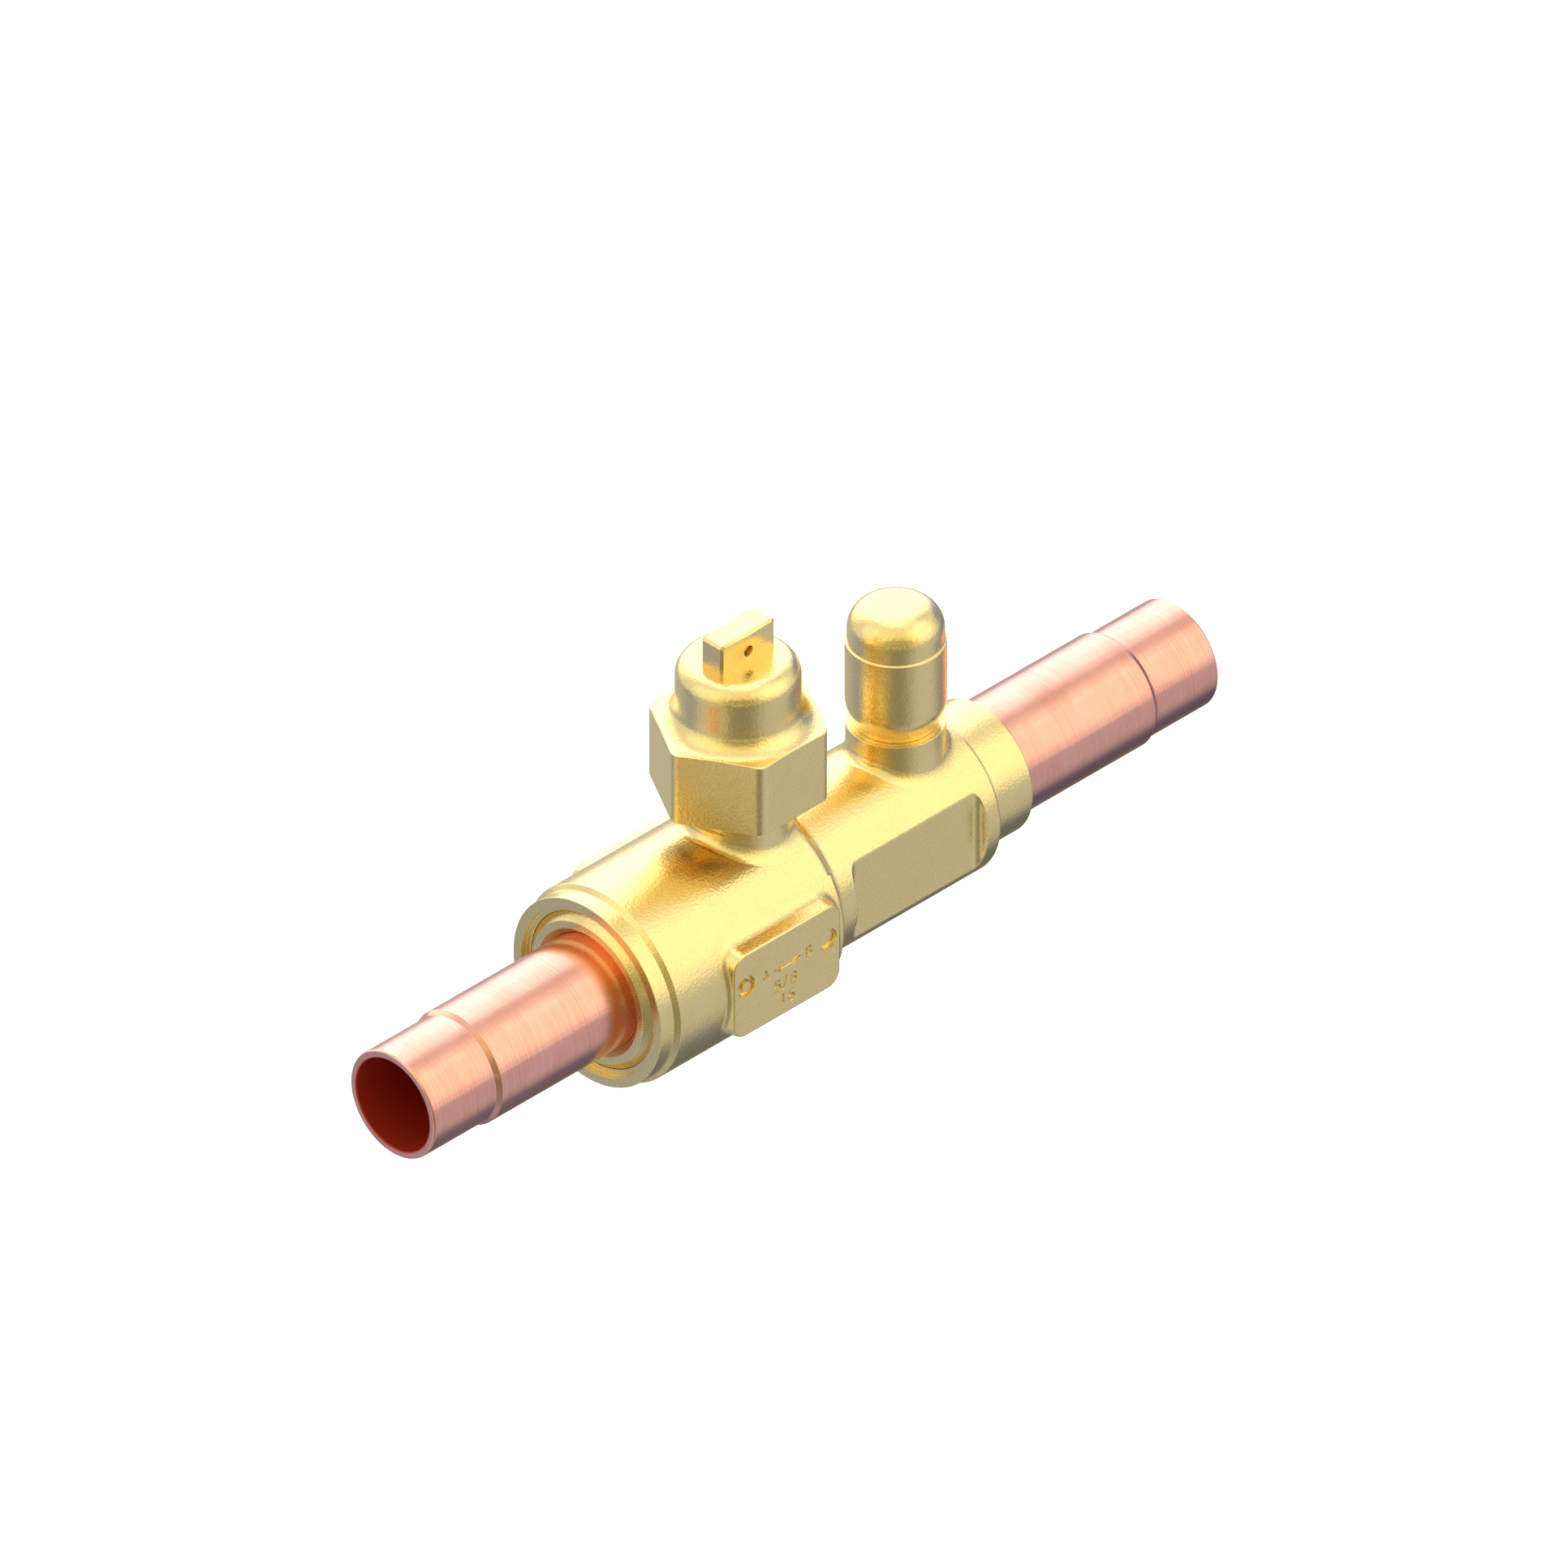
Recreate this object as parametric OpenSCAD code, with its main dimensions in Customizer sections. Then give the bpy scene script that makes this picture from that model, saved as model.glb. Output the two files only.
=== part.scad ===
// Shut-off ball valve with copper solder ends, a sealing cap over the stem and a capped service port.
// The pipe runs along +X with the inlet mouth at the origin, the stem points up +Z, and the valve is open.

/* [Pipe ends] */
// Outside diameter of the pipe that is brazed into each socket
pipe_d = 15.88; // [14:0.01:16.6]
// Radial gap between that pipe and the socket
socket_gap = 0.025; // [0.01:0.005:0.1]
// Depth of each solder socket
socket_depth = 13; // [8:0.1:18]
// Wall of the tube round the socket
socket_wall = 1.26; // [0.8:0.01:1.6]
// Length of the slimmer stretch round each socket
socket_len = 13.4; // [9:0.1:19]
// Length of the cone between the slim and the full stretch
swage_len = 0.9; // [0.4:0.1:3]
// Outside diameter of the tube ends
tube_d = 19.5; // [18.6:0.01:20.4]
// Chamfer round each tube mouth
mouth_chamfer = 0.2; // [0.1:0.05:0.5]
// Stem axis to inlet mouth
inlet_reach = 75.3; // [62:0.1:110]
// Stem axis to outlet mouth
outlet_reach = 95.5; // [82:0.1:130]
// Depth that each tube goes into its brass collar
tube_insert = 11; // [7:0.1:12]
// Radial gap left for the brazing metal
braze_gap = 0.02; // [0.01:0.01:0.1]

/* [Forged body] */
// Diameter of the front barrel, round the ball
front_d = 33.75; // [32.6:0.05:38]
// Diameter of the rear barrel, under the service port
rear_d = 27.5; // [26:0.05:30]
// Diameter of the inlet collar
inlet_collar_d = 32.2; // [31:0.05:33.5]
// Length of the inlet collar
inlet_collar_len = 2.9; // [1.5:0.1:5]
// Length of the cone from the inlet collar to the front barrel
shoulder_len = 0.7; // [0.3:0.1:2]
// Chamfer round the inlet collar's face
collar_chamfer = 0.37; // [0.1:0.01:0.8]
// Stem axis to the inlet face
inlet_face = 32.93; // [30:0.01:38]
// Stem axis to the start of the step behind the front barrel
step_x = 5.44; // [4:0.01:7]
// Rounding on the step's upper edge
step_round = 1.6; // [0.8:0.1:2.4]
// Fillet at the step's foot
step_fillet = 2.3; // [1:0.1:3]
// Stem axis to the end of the rear barrel
rear_end = 43.86; // [42.5:0.01:50]
// Diameter of the outlet collar
outlet_collar_d = 22.8; // [22:0.05:25]
// Length of the outlet collar, from the rear barrel's end
outlet_collar_len = 9.15; // [6:0.05:14]

/* [Pads and flats] */
// Length of the raised pads along the pipe
pad_l = 23.05; // [16:0.05:24]
// Height of the pads
pad_h = 15.25; // [10:0.05:17]
// How far the pads' faces stand out from the front barrel
pad_rise = 0.97; // [0.4:0.01:3]
// Radius of the pads' corners
pad_corner = 2.6; // [1:0.1:4]
// Stem axis to the middle of the pads, towards the inlet
pad_x = 7.12; // [6:0.01:9]
// Depth of the marks in the pad
mark_depth = 0.35; // [0.2:0.05:0.6]
// Depth of the round marks
dimple_depth = 0.7; // [0.3:0.05:1.2]
// Diameter of the round marks
dimple_d = 3.6; // [2:0.1:4.5]
// Diameter of the post left in the first round mark
dimple_post_d = 1.6; // [0.8:0.1:1.9]
// Distance between the two round marks
dimple_spread = 17.8; // [12:0.1:18]
// Height of the row of marks above the pipe axis
mark_row = 1.6; // [0:0.1:3]
// Length of the double arrow
arrow_l = 6; // [4.6:0.1:8]
// Length and width of each arrow head
arrow_head = 1.8; // [1:0.1:2.2]
// Width of the arrow's shaft
arrow_shaft = 0.6; // [0.3:0.05:0.9]
// Distance of the spanner flats from the pipe axis
flat_y = 11.7; // [11.3:0.05:12.6]
// Stem axis to the start of the flats
flat_start = 13.84; // [13:0.01:18]
// Length of the flats
flat_len = 25.3; // [18:0.1:26]
// Radius of the scoop at each end of the flats
flat_scoop = 1.45; // [0.5:0.05:2]

/* [Ball and seats] */
// Bore through the ball, the seats and the body
port_d = 14; // [12:0.1:14.4]
// Diameter of the ball
ball_d = 23; // [22.8:0.05:23.4]
// Gap between the ball and its chamber
chamber_gap = 0.7; // [0.4:0.05:1]
// Gap between the ball and the hollow in each seat
seat_gap = 0.05; // [0.02:0.01:0.1]
// Outside diameter of the seats
seat_d = 21.7; // [21:0.05:22]
// Width of each seat's front lip
seat_lip = 1.45; // [1.2:0.05:1.8]
// How far the outlet seat's pocket starts ahead of the seat
pocket_lead = 2; // [1:0.1:2.2]
// Length of each seat
seat_len = 5.4; // [4:0.1:6.5]
// Height of the disc spring behind the inlet seat
spring_h = 1.2; // [0.8:0.05:1.6]
// Thickness of the disc spring
spring_t = 0.5; // [0.3:0.05:0.7]
// How far the disc spring's inner edge lies back from the bore
spring_inset = 0.5; // [0.2:0.05:1]
// Metal left between the ball's bore and its slot
slot_web = 1.2; // [0.8:0.1:1.6]
// Width of the ball's slot
slot_w = 5.1; // [4:0.1:6]
// Vent hole between slot and bore
vent_d = 1.2; // [0.6:0.1:2]

/* [Seat retainer] */
// Thread diameter of the retainer
retainer_d = 26.8; // [26.5:0.05:27.2]
// Diameter of the retainer's spigot
spigot_d = 25.6; // [25.2:0.05:25.8]
// Length of the thread
retainer_thread_len = 12.93; // [9:0.01:15]
// Chamfer on the retainer's nose
nose_chamfer = 1.25; // [0.5:0.05:1.6]
// Radial width of the countersink round the tube
sink_w = 1.1; // [0.4:0.05:1.2]
// Diameter of the recess round the retainer's nose
recess_d = 28.88; // [28.2:0.02:29.6]
// Depth of that recess
recess_depth = 1.1; // [0.5:0.05:2]
// Radial gap between turned pieces that fit in each other
turned_gap = 0.05; // [0.02:0.01:0.1]

/* [Ring seals] */
// Thickness of the ring seals
ring_t = 1.36; // [1:0.02:1.5]
// Width of the grooves they lie in
ring_groove_w = 2; // [1.6:0.1:2.4]
// Gap between a ring seal and the walls round it
ring_gap = 0.02; // [0.01:0.01:0.04]

/* [Stem] */
// Diameter of the stem
stem_d = 12; // [11.8:0.1:12.4]
// Radial running gap between stem and neck
stem_gap = 0.05; // [0.02:0.01:0.1]
// Gap between the ball and the stem's flange
flange_gap = 0.45; // [0.3:0.05:0.8]
// Height of the flange
flange_h = 1.65; // [1.2:0.05:2.2]
// How far the flange stands out from the stem
flange_w = 1; // [0.6:0.05:1]
// Thickness of the thrust washer
washer_t = 0.8; // [0.5:0.05:1.2]
// Width of the tang across the ball's slot
tang_w = 11; // [8:0.1:11.5]
// Gap round the tang in the slot
tang_gap = 0.1; // [0.05:0.05:0.3]
// Height of the lower ring seal above the thrust washer
ring_rise = 3.2; // [2.4:0.1:4]
// Distance between the two ring seals
ring_pitch = 4; // [3.2:0.1:5]
// How far the stem stands above the neck
stem_rise = 10; // [7:0.1:10.4]
// Chamfer round the stem's top
stem_chamfer = 0.4; // [0.2:0.05:0.8]
// Depth of the slot in the stem's top
key_slot_depth = 5; // [3:0.1:6]
// Gap between the cap's blade and that slot
key_gap = 0.15; // [0.05:0.05:0.4]
// Diameter of the stop pin
stop_d = 2; // [1.2:0.1:2.2]
// Depth of the recess in the neck's top for the stop pin
stop_recess = 2.3; // [1.6:0.1:3]
// Width of that recess
stop_w = 1.25; // [0.8:0.05:1.25]
// Gap round the stop pin in the recess
stop_gap = 0.3; // [0.2:0.05:0.5]

/* [Stem neck and cap] */
// Diameter of the neck's plain foot
neck_d = 17; // [16.6:0.05:17.4]
// Diameter over the neck's thread
neck_thread_d = 17.9; // [17.5:0.05:18.2]
// Height of the neck's top above the pipe axis
neck_h = 31.5; // [29:0.1:36]
// Length of the thread on the neck
neck_thread_len = 7.2; // [4:0.1:8]
// Gap between the threads of cap and neck
thread_gap = 0.1; // [0.05:0.01:0.2]
// Thickness of the cap's gasket
gasket_t = 0.8; // [0.4:0.05:1.5]
// Width of the gasket's ring, from the thread inwards
gasket_w = 1.3; // [0.6:0.05:2]
// Depth of the threaded skirt inside the cap
skirt = 9.55; // [8:0.05:11]
// Size of the hexagon across its flats
hex_af = 25; // [23.5:0.1:27]
// Rounding of the hexagon's corners
hex_round = 1.9; // [0.4:0.1:2]
// Height of the hexagon at its corners
hex_h = 12.6; // [10:0.1:14]
// Rise of the sloping shoulder over its width
hex_slope = 0.2; // [0.05:0.01:0.5]
// Diameter of the cap's round head
dome_d = 19.6; // [18.8:0.1:20.4]
// Height of the round head's top above the cap's lower edge
dome_h = 24; // [22:0.1:28]
// Rounding of the round head's edge
dome_round = 2.95; // [1:0.05:3.4]
// Fillet between the round head and the hexagon
dome_fillet = 3.5; // [0.6:0.1:3.6]
// Wall over the cap's inner hollow
dome_wall = 2.4; // [1.6:0.1:2.6]
// Length of the key blade on the cap
blade_l = 11.8; // [8:0.05:12]
// Thickness of the blade
blade_t = 4.6; // [2.5:0.05:5]
// Height of the blade above the round head
blade_h = 5.75; // [4:0.05:8]
// Chamfer along the blade's edges
blade_chamfer = 0.45; // [0.1:0.05:0.8]
// Diameter of the hole through the blade
blade_hole_d = 1.8; // [1:0.1:2.4]
// Depth of that hole's middle under the blade's top
blade_hole_drop = 3.35; // [2:0.05:4]

/* [Service port] */
// Stem axis to service port axis
service_x = 34.34; // [31:0.01:37]
// Diameter of the service boss
boss_d = 15.66; // [14:0.02:17]
// Height of the boss's top above the pipe axis
boss_h = 18.05; // [16.5:0.05:22]
// Diameter of the fitting's stub, brazed into the boss
stub_d = 8; // [7:0.1:9]
// Depth of the stub in the boss
stub_depth = 6.8; // [4:0.1:7.5]
// Diameter of the fitting's neck
fitting_neck_d = 10; // [9.2:0.1:10.4]
// Length of that neck above the boss
fitting_neck_len = 2; // [1:0.1:4]
// Diameter over the fitting's thread
fitting_thread_d = 11.11; // [10.8:0.01:11.4]
// Height of the fitting's top above the boss
fitting_h = 15.55; // [14:0.05:18]
// Height of the sealing cone on the fitting's top
cone_h = 2.2; // [1:0.1:3]
// Width of the flat rim left on the fitting's top
cone_rim = 0.5; // [0.3:0.05:0.8]
// Gas passage under the core
passage_d = 3.2; // [1.5:0.1:4]
// Bore of the fitting round the core
core_bore_d = 5.5; // [5.3:0.05:5.8]
// Gap round the core's disc and barrel
core_gap = 0.1; // [0.05:0.01:0.2]

/* [Valve core] */
// Depth of the core's head under the fitting's top
core_sink = 1.2; // [0.5:0.1:1.6]
// Length of the core housing
core_len = 7.4; // [7:0.1:9]
// Length of the housing's threaded head
core_head_len = 3; // [2:0.1:3.4]
// Width of the tool slot across the head
core_slot_w = 1; // [0.6:0.05:1.4]
// Depth of that slot
core_slot_depth = 1; // [0.5:0.05:1.6]
// Height of the core's gasket
core_gasket_h = 1.4; // [0.8:0.1:2]
// Diameter of the housing below its head
core_body_d = 4.3; // [4:0.05:4.6]
// Diameter of the pin
pin_d = 1.5; // [1:0.05:1.6]
// Radial gap round the pin where it slides
pin_gap = 0.08; // [0.03:0.01:0.1]
// Height of the pin above the housing
pin_rise = 0.9; // [0.3:0.05:1]
// Diameter of the pin's collar
pin_collar_d = 3; // [2.6:0.05:3]
// Thickness of the collar
pin_collar_t = 0.6; // [0.4:0.05:0.9]
// Travel of the pin
pin_travel = 1.2; // [0.6:0.05:1.3]
// Diameter of the rubber disc
core_disc_d = 3.6; // [3.3:0.05:3.8]
// Thickness of the rubber disc
core_disc_t = 1; // [0.6:0.05:1.4]
// Wire of the core's spring
wire_d = 0.3; // [0.2:0.02:0.36]
// Turns of the spring
spring_turns = 5; // [3:1:6]
// Wall of the housing round the spring
core_wall = 0.4; // [0.3:0.05:0.45]

/* [Service cap] */
// Diameter of the cap
cap_d = 15.86; // [15.4:0.02:18]
// Diameter of its upper part, above the fine ledge
cap_upper_d = 15.22; // [14.2:0.02:15.8]
// Diameter of its lower rim
cap_rim_d = 13.5; // [13:0.05:14.5]
// Height of the tapered foot
cap_taper_h = 3.3; // [1:0.1:5]
// Depth of the ledge below the cap's top
cap_ledge_drop = 6.4; // [5.2:0.1:8]
// Height of the cap's crown above its gasket's seat
cap_crown = 5.1; // [4.4:0.1:8]
// Rounding of the cap's top edge
cap_round = 4.3; // [1:0.1:5]
// Gap between the boss and the cap's lower edge
cap_lift = 0.1; // [0.05:0.05:2]
// Length of the thread inside the cap
cap_thread_len = 8; // [5:0.1:10]
// Radial depth of the clear bore under that thread
cap_relief = 0.3; // [0.1:0.05:0.6]
// Thickness of the cap's gasket
cap_gasket_t = 1; // [0.5:0.05:1.4]
// Inner hollow above the gasket
cap_hollow_d = 6; // [5:0.1:7]
// Height of that hollow
cap_hollow_h = 1.9; // [1.2:0.1:2.4]

/* [Hidden] */
$fn = 96;
CUT = 1; // how far a cutting shape runs past the face it cuts
ARC_STEPS = 8; // points along each rounded edge of a turned outline

port_r = port_d/2;
ball_r = ball_d/2;
socket_r = pipe_d/2 + socket_gap;
slim_r = socket_r + socket_wall;
tube_r = tube_d/2;
tube_hole_r = tube_r + braze_gap;

// Along the pipe, from the stem axis
seat_r = seat_d/2;
seat_front = sqrt(pow(ball_r, 2) - pow(seat_r - seat_lip, 2));
seat_back = seat_front + seat_len;
pocket_r = seat_r + turned_gap;
pocket_front = seat_front - pocket_lead;
chamber_r = ball_r + chamber_gap;
pocket_floor = seat_back + spring_h;
nose_end = seat_front + seat_lip;
retainer_stop = inlet_face - retainer_thread_len;
retainer_ring_x = (retainer_stop + pocket_floor)/2;
outlet_face = rear_end + outlet_collar_len;
pad_face = front_d/2 + pad_rise;

// Up the stem, from the pipe axis
stem_r = stem_d/2;
slot_floor = port_r + slot_web;
flange_z = ball_r + flange_gap;
flange_r = stem_r + flange_w;
washer_z = flange_z + flange_h;
flange_roof = washer_z + washer_t;
ring_z = flange_roof + ring_rise;
stop_floor = neck_h - stop_recess;
stop_z = stop_floor + stop_gap/2 + stop_d/2;
stop_r = stem_r + stem_gap + stop_w;
stem_top = neck_h + stem_rise;

// Cap over the stem
neck_thread_r = neck_thread_d/2;
cap_seat = neck_h + gasket_t;
cap_bottom = cap_seat - skirt;
dome_r = dome_d/2;
dome_top = cap_bottom + dome_h;
hollow_r = dome_r - dome_wall;
blade_top = dome_top + blade_h;

// Service port
fitting_top = boss_h + fitting_h;
stub_end = boss_h - stub_depth;
core_top = fitting_top - core_sink;
core_end = core_top - core_len;
disc_bottom = core_end - core_disc_t;
disc_room = disc_bottom - pin_travel - stop_gap;
pin_top = core_top + pin_rise;
core_roof = core_top - core_head_len;
spring_floor = core_end + core_wall;
collar_z = core_roof - pin_collar_t;
spring_mean_r = (pin_d/2 + core_body_d/2 - core_wall)/2;
service_seat = fitting_top + cap_gasket_t;
service_bottom = boss_h + cap_lift;
service_top = service_seat + cap_crown;

function arc(centre, r, from, to, steps = ARC_STEPS) =
    [for (i = [0:steps]) centre + r*[cos(from + (to - from)*i/steps), sin(from + (to - from)*i/steps)]];

// Everything below is drawn from the stem axis and moved so that the inlet mouth is the origin
module at_stem() translate([inlet_reach, 0, 0]) children();

// A solid turned about the pipe axis from points of [radius, distance along the pipe]
module turned(points) rotate([0, 90, 0]) rotate_extrude() polygon(points);

// A round bar or hole along the pipe between two distances from the stem axis
module round_x(r, from, to) translate([from, 0, 0]) rotate([0, 90, 0]) cylinder(r = r, h = to - from);

// A round bar or hole up the stem between two heights
module round_z(r, from, to) translate([0, 0, from]) cylinder(r = r, h = to - from);

// A flat ring between two heights
module flat_ring(inner, outer, from, to) difference() {
    round_z(outer, from, to);
    round_z(inner, from - CUT, to + CUT);
}

// A ring seal of round section about Z
module ring_seal(mean_r, t) rotate_extrude() translate([mean_r, 0]) circle(d = t);

// Step from the front to the rear barrel: a rounded edge, a wall if there is room, and a fillet
step_drop = (front_d - rear_d)/2;
step_turn = acos(max(0, 1 - step_drop/(step_round + step_fillet)));
step_end = step_x + (step_round + step_fillet)*sin(step_turn);
outlet_fillet = (rear_d - outlet_collar_d)/2;

module body_outline() turned(concat(
    [[0, -inlet_face],
     [inlet_collar_d/2 - collar_chamfer, -inlet_face],
     [inlet_collar_d/2, collar_chamfer - inlet_face],
     [inlet_collar_d/2, inlet_collar_len - inlet_face],
     [front_d/2, inlet_collar_len + shoulder_len - inlet_face]],
    arc([front_d/2 - step_round, step_x], step_round, 0, step_turn),
    arc([rear_d/2 + step_fillet, step_end], step_fillet, 180 + step_turn, 180),
    arc([outlet_collar_d/2 + outlet_fillet, rear_end + outlet_fillet], outlet_fillet, 270, 180),
    [[outlet_collar_d/2, outlet_face], [0, outlet_face]]));

// Flat plate with round corners, in the X-Z plane, growing towards +Y
module rounded_plate(l, h, corner, t) rotate([90, 0, 180]) linear_extrude(t) {
    square([l, h - 2*corner], center = true);
    square([l - 2*corner, h], center = true);
    for (sx = [-1, 1], sy = [-1, 1]) translate([sx*(l/2 - corner), sy*(h/2 - corner)]) circle(corner);
}

// The pads run inwards to the middle of the barrel's wall
module pads() for (side = [0, 180])
    translate([-pad_x, 0, 0]) rotate([0, 0, side]) translate([0, chamber_r + 1, 0])
        rounded_plate(pad_l, pad_h, pad_corner, pad_face - chamber_r - 1);

// Two round marks, the first with a post, and a double arrow between them, on the -Y pad
module pad_marks() translate([-pad_x, -pad_face, mark_row]) rotate([90, 0, 0]) {
    for (side = [-1, 1]) translate([side*dimple_spread/2, 0, -dimple_depth]) difference() {
        cylinder(d = dimple_d, h = dimple_depth + CUT);
        if (side < 0) translate([0, 0, -CUT]) cylinder(d = dimple_post_d, h = dimple_depth + 3*CUT);
    }
    translate([0, 0, -mark_depth]) linear_extrude(mark_depth + CUT) {
        square([arrow_l - arrow_head, arrow_shaft], center = true);
        for (side = [0, 180]) rotate([0, 0, side])
            polygon([[arrow_l/2, 0], [arrow_l/2 - arrow_head, arrow_head/2],
                [arrow_l/2 - arrow_head, -arrow_head/2]]);
    }
}

// Cutter for the spanner flats on both sides of the rear barrel, with scooped ends
module flats() {
    flat_end = flat_start + flat_len;
    outside = rear_d/2 + CUT;
    for (side = [0, 1]) mirror([0, side, 0]) translate([0, 0, -rear_d/2]) linear_extrude(rear_d)
        polygon(concat(
            [[flat_start - flat_scoop, outside]],
            arc([flat_start, flat_y + flat_scoop], flat_scoop, 180, 270),
            arc([flat_end, flat_y + flat_scoop], flat_scoop, 270, 360),
            [[flat_end + flat_scoop, outside]]));
}

// Neck for the stem, with its thread's outer diameter and a chamfered top
module neck_outline() {
    thread_foot = neck_h - neck_thread_len;
    step = neck_thread_r - neck_d/2;
    rotate_extrude() polygon([[0, 0], [neck_d/2, 0], [neck_d/2, thread_foot - step],
        [neck_thread_r, thread_foot], [neck_thread_r, neck_h - step], [neck_thread_r - step, neck_h],
        [0, neck_h]]);
}

// Bore of the neck with the flange's pocket, and the recess that the stop pin turns in, less its two lugs
module neck_bore() {
    round_z(stem_r + stem_gap, 0, neck_h + CUT);
    round_z(flange_r + stop_gap, 0, flange_roof);
    difference() {
        round_z(stop_r, stop_floor, neck_h + CUT);
        for (side = [0, 180]) rotate([0, 0, side]) translate([0, 0, stop_floor - CUT])
            linear_extrude(neck_h - stop_floor + 3*CUT) polygon(stop_lug());
    }
}

// Outline of one lug: it fills the quarter that the stop pin doesn't turn through
function stop_lug() =
    let (edge = stop_d/2 + stop_gap, far = 2*stop_r) [[edge, edge], [far, edge], [far, far], [edge, far]];

module body_bores() {
    // mouth, thread, spigot bore and ball chamber, each narrower than the one before
    round_x(recess_d/2, -inlet_face - CUT, recess_depth - inlet_face);
    round_x(retainer_d/2 + turned_gap, -inlet_face, -retainer_stop);
    round_x(spigot_d/2 + turned_gap, -retainer_stop, -nose_end + turned_gap);
    round_x(chamber_r, -nose_end, pocket_front);
    round_x(pocket_r, 0, seat_back);
    round_x(port_r, 0, outlet_face);
    round_x(tube_hole_r, outlet_face - tube_insert, outlet_face + CUT);
    neck_bore();
    translate([service_x, 0, 0]) {
        round_z(passage_d/2, 0, stub_end + CUT);
        round_z(stub_d/2 + braze_gap, stub_end, boss_h + CUT);
    }
}

module valve_body() color([0.80, 0.66, 0.33]) at_stem() difference() {
    union() {
        difference() {
            body_outline();
            flats();
        }
        pads();
        neck_outline();
        translate([service_x, 0, 0]) round_z(boss_d/2, 0, boss_h);
    }
    body_bores();
    pad_marks();
}

// Screwed ring that carries the inlet tube and holds the inlet seat
module seat_retainer() color([0.76, 0.62, 0.32]) at_stem() difference() {
    turned([[0, -inlet_face], [retainer_d/2 - nose_chamfer, -inlet_face],
        [retainer_d/2, nose_chamfer - inlet_face], [retainer_d/2, -retainer_stop],
        [spigot_d/2, -retainer_stop], [spigot_d/2, -nose_end], [0, -nose_end]]);
    turned([[0, -inlet_face - CUT], [tube_hole_r + sink_w + CUT, -inlet_face - CUT],
        [tube_hole_r, sink_w - inlet_face], [tube_hole_r, tube_insert - inlet_face],
        [0, tube_insert - inlet_face]]);
    round_x(port_r, -inlet_face, -nose_end);
    round_x(pocket_r, -pocket_floor, CUT - nose_end);
    // groove for the ring seal
    translate([-retainer_ring_x, 0, 0]) difference() {
        round_x(spigot_d/2 + CUT, -ring_groove_w/2, ring_groove_w/2);
        round_x(spigot_d/2 + turned_gap - ring_t - 2*ring_gap, -ring_groove_w, ring_groove_w);
    }
}

module retainer_o_ring() color([0.08, 0.08, 0.09]) at_stem() translate([-retainer_ring_x, 0, 0])
    rotate([0, 90, 0]) ring_seal(spigot_d/2 + turned_gap - ring_gap - ring_t/2, ring_t);

// Copper tube end with its mouth at 0 and its brazed end at len, along +X
module tube_end(len) turned([
    [port_r, len], [tube_r, len], [tube_r, socket_len + swage_len], [slim_r, socket_len],
    [slim_r, mouth_chamfer], [slim_r - mouth_chamfer, 0], [socket_r, 0], [socket_r, socket_depth],
    [port_r, socket_depth]]);

module inlet_tube() color([0.85, 0.52, 0.40]) tube_end(inlet_reach - inlet_face + tube_insert);

module outlet_tube() color([0.85, 0.52, 0.40]) at_stem() translate([outlet_reach, 0, 0]) mirror([1, 0, 0])
    tube_end(outlet_reach - outlet_face + tube_insert);

module ball() color([0.82, 0.83, 0.85]) at_stem() difference() {
    sphere(ball_r);
    round_x(port_r, -ball_r - CUT, ball_r + CUT);
    translate([-slot_w/2, -ball_r, slot_floor]) cube([slot_w, 2*ball_r, ball_r]);
    round_z(vent_d/2, 0, slot_floor + CUT);
}

// Seat with a hollow that follows the ball, its front towards the stem
module seat() difference() {
    round_x(seat_r, seat_front, seat_back);
    round_x(port_r, seat_front - CUT, seat_back + CUT);
    sphere(ball_r + seat_gap);
}

module inlet_seat() color([0.93, 0.93, 0.90]) at_stem() mirror([1, 0, 0]) seat();

module outlet_seat() color([0.93, 0.93, 0.90]) at_stem() seat();

// Coned washer between the inlet seat and the retainer
module seat_spring() color([0.62, 0.63, 0.66]) at_stem() turned([
    [port_r + spring_inset, -seat_back], [port_r + spring_inset, -seat_back - spring_t],
    [seat_r - turned_gap, -pocket_floor], [seat_r - turned_gap, spring_t - pocket_floor]]);

// Outline of the stem, with a groove round each ring seal
function stem_outline() =
    let (groove_r = stem_r + stem_gap - ring_t - 2*ring_gap, w = ring_groove_w/2)
    concat(
        [[0, flange_z], [flange_r, flange_z], [flange_r, washer_z], [stem_r, washer_z]],
        [for (i = [0, 1], p = [[stem_r, -w], [groove_r, -w], [groove_r, w], [stem_r, w]])
            [p[0], p[1] + ring_z + i*ring_pitch]],
        [[stem_r, stem_top - stem_chamfer], [stem_r - stem_chamfer, stem_top], [0, stem_top]]);

module stem() color([0.74, 0.62, 0.36]) at_stem() difference() {
    union() {
        rotate_extrude() polygon(stem_outline());
        // tang that fills the ball's slot
        translate([tang_gap - slot_w/2, -tang_w/2, slot_floor + tang_gap])
            cube([slot_w - 2*tang_gap, tang_w, flange_z - slot_floor]);
    }
    // slot that takes the cap's blade, along the pipe while the valve is open
    translate([-stem_d, -blade_t/2 - key_gap, stem_top - key_slot_depth])
        cube([2*stem_d, blade_t + 2*key_gap, key_slot_depth + CUT]);
    translate([0, 0, stop_z]) round_x(stop_d/2, -stem_d, stem_d);
}

module stem_washer() color([0.92, 0.92, 0.88]) at_stem()
    flat_ring(stem_r + stem_gap, flange_r, washer_z, flange_roof);

module stem_ring(i) color([0.08, 0.08, 0.09]) at_stem() translate([0, 0, ring_z + i*ring_pitch])
    ring_seal(stem_r + stem_gap - ring_gap - ring_t/2, ring_t);

module stem_o_ring_lower() stem_ring(0);

module stem_o_ring_upper() stem_ring(1);

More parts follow.
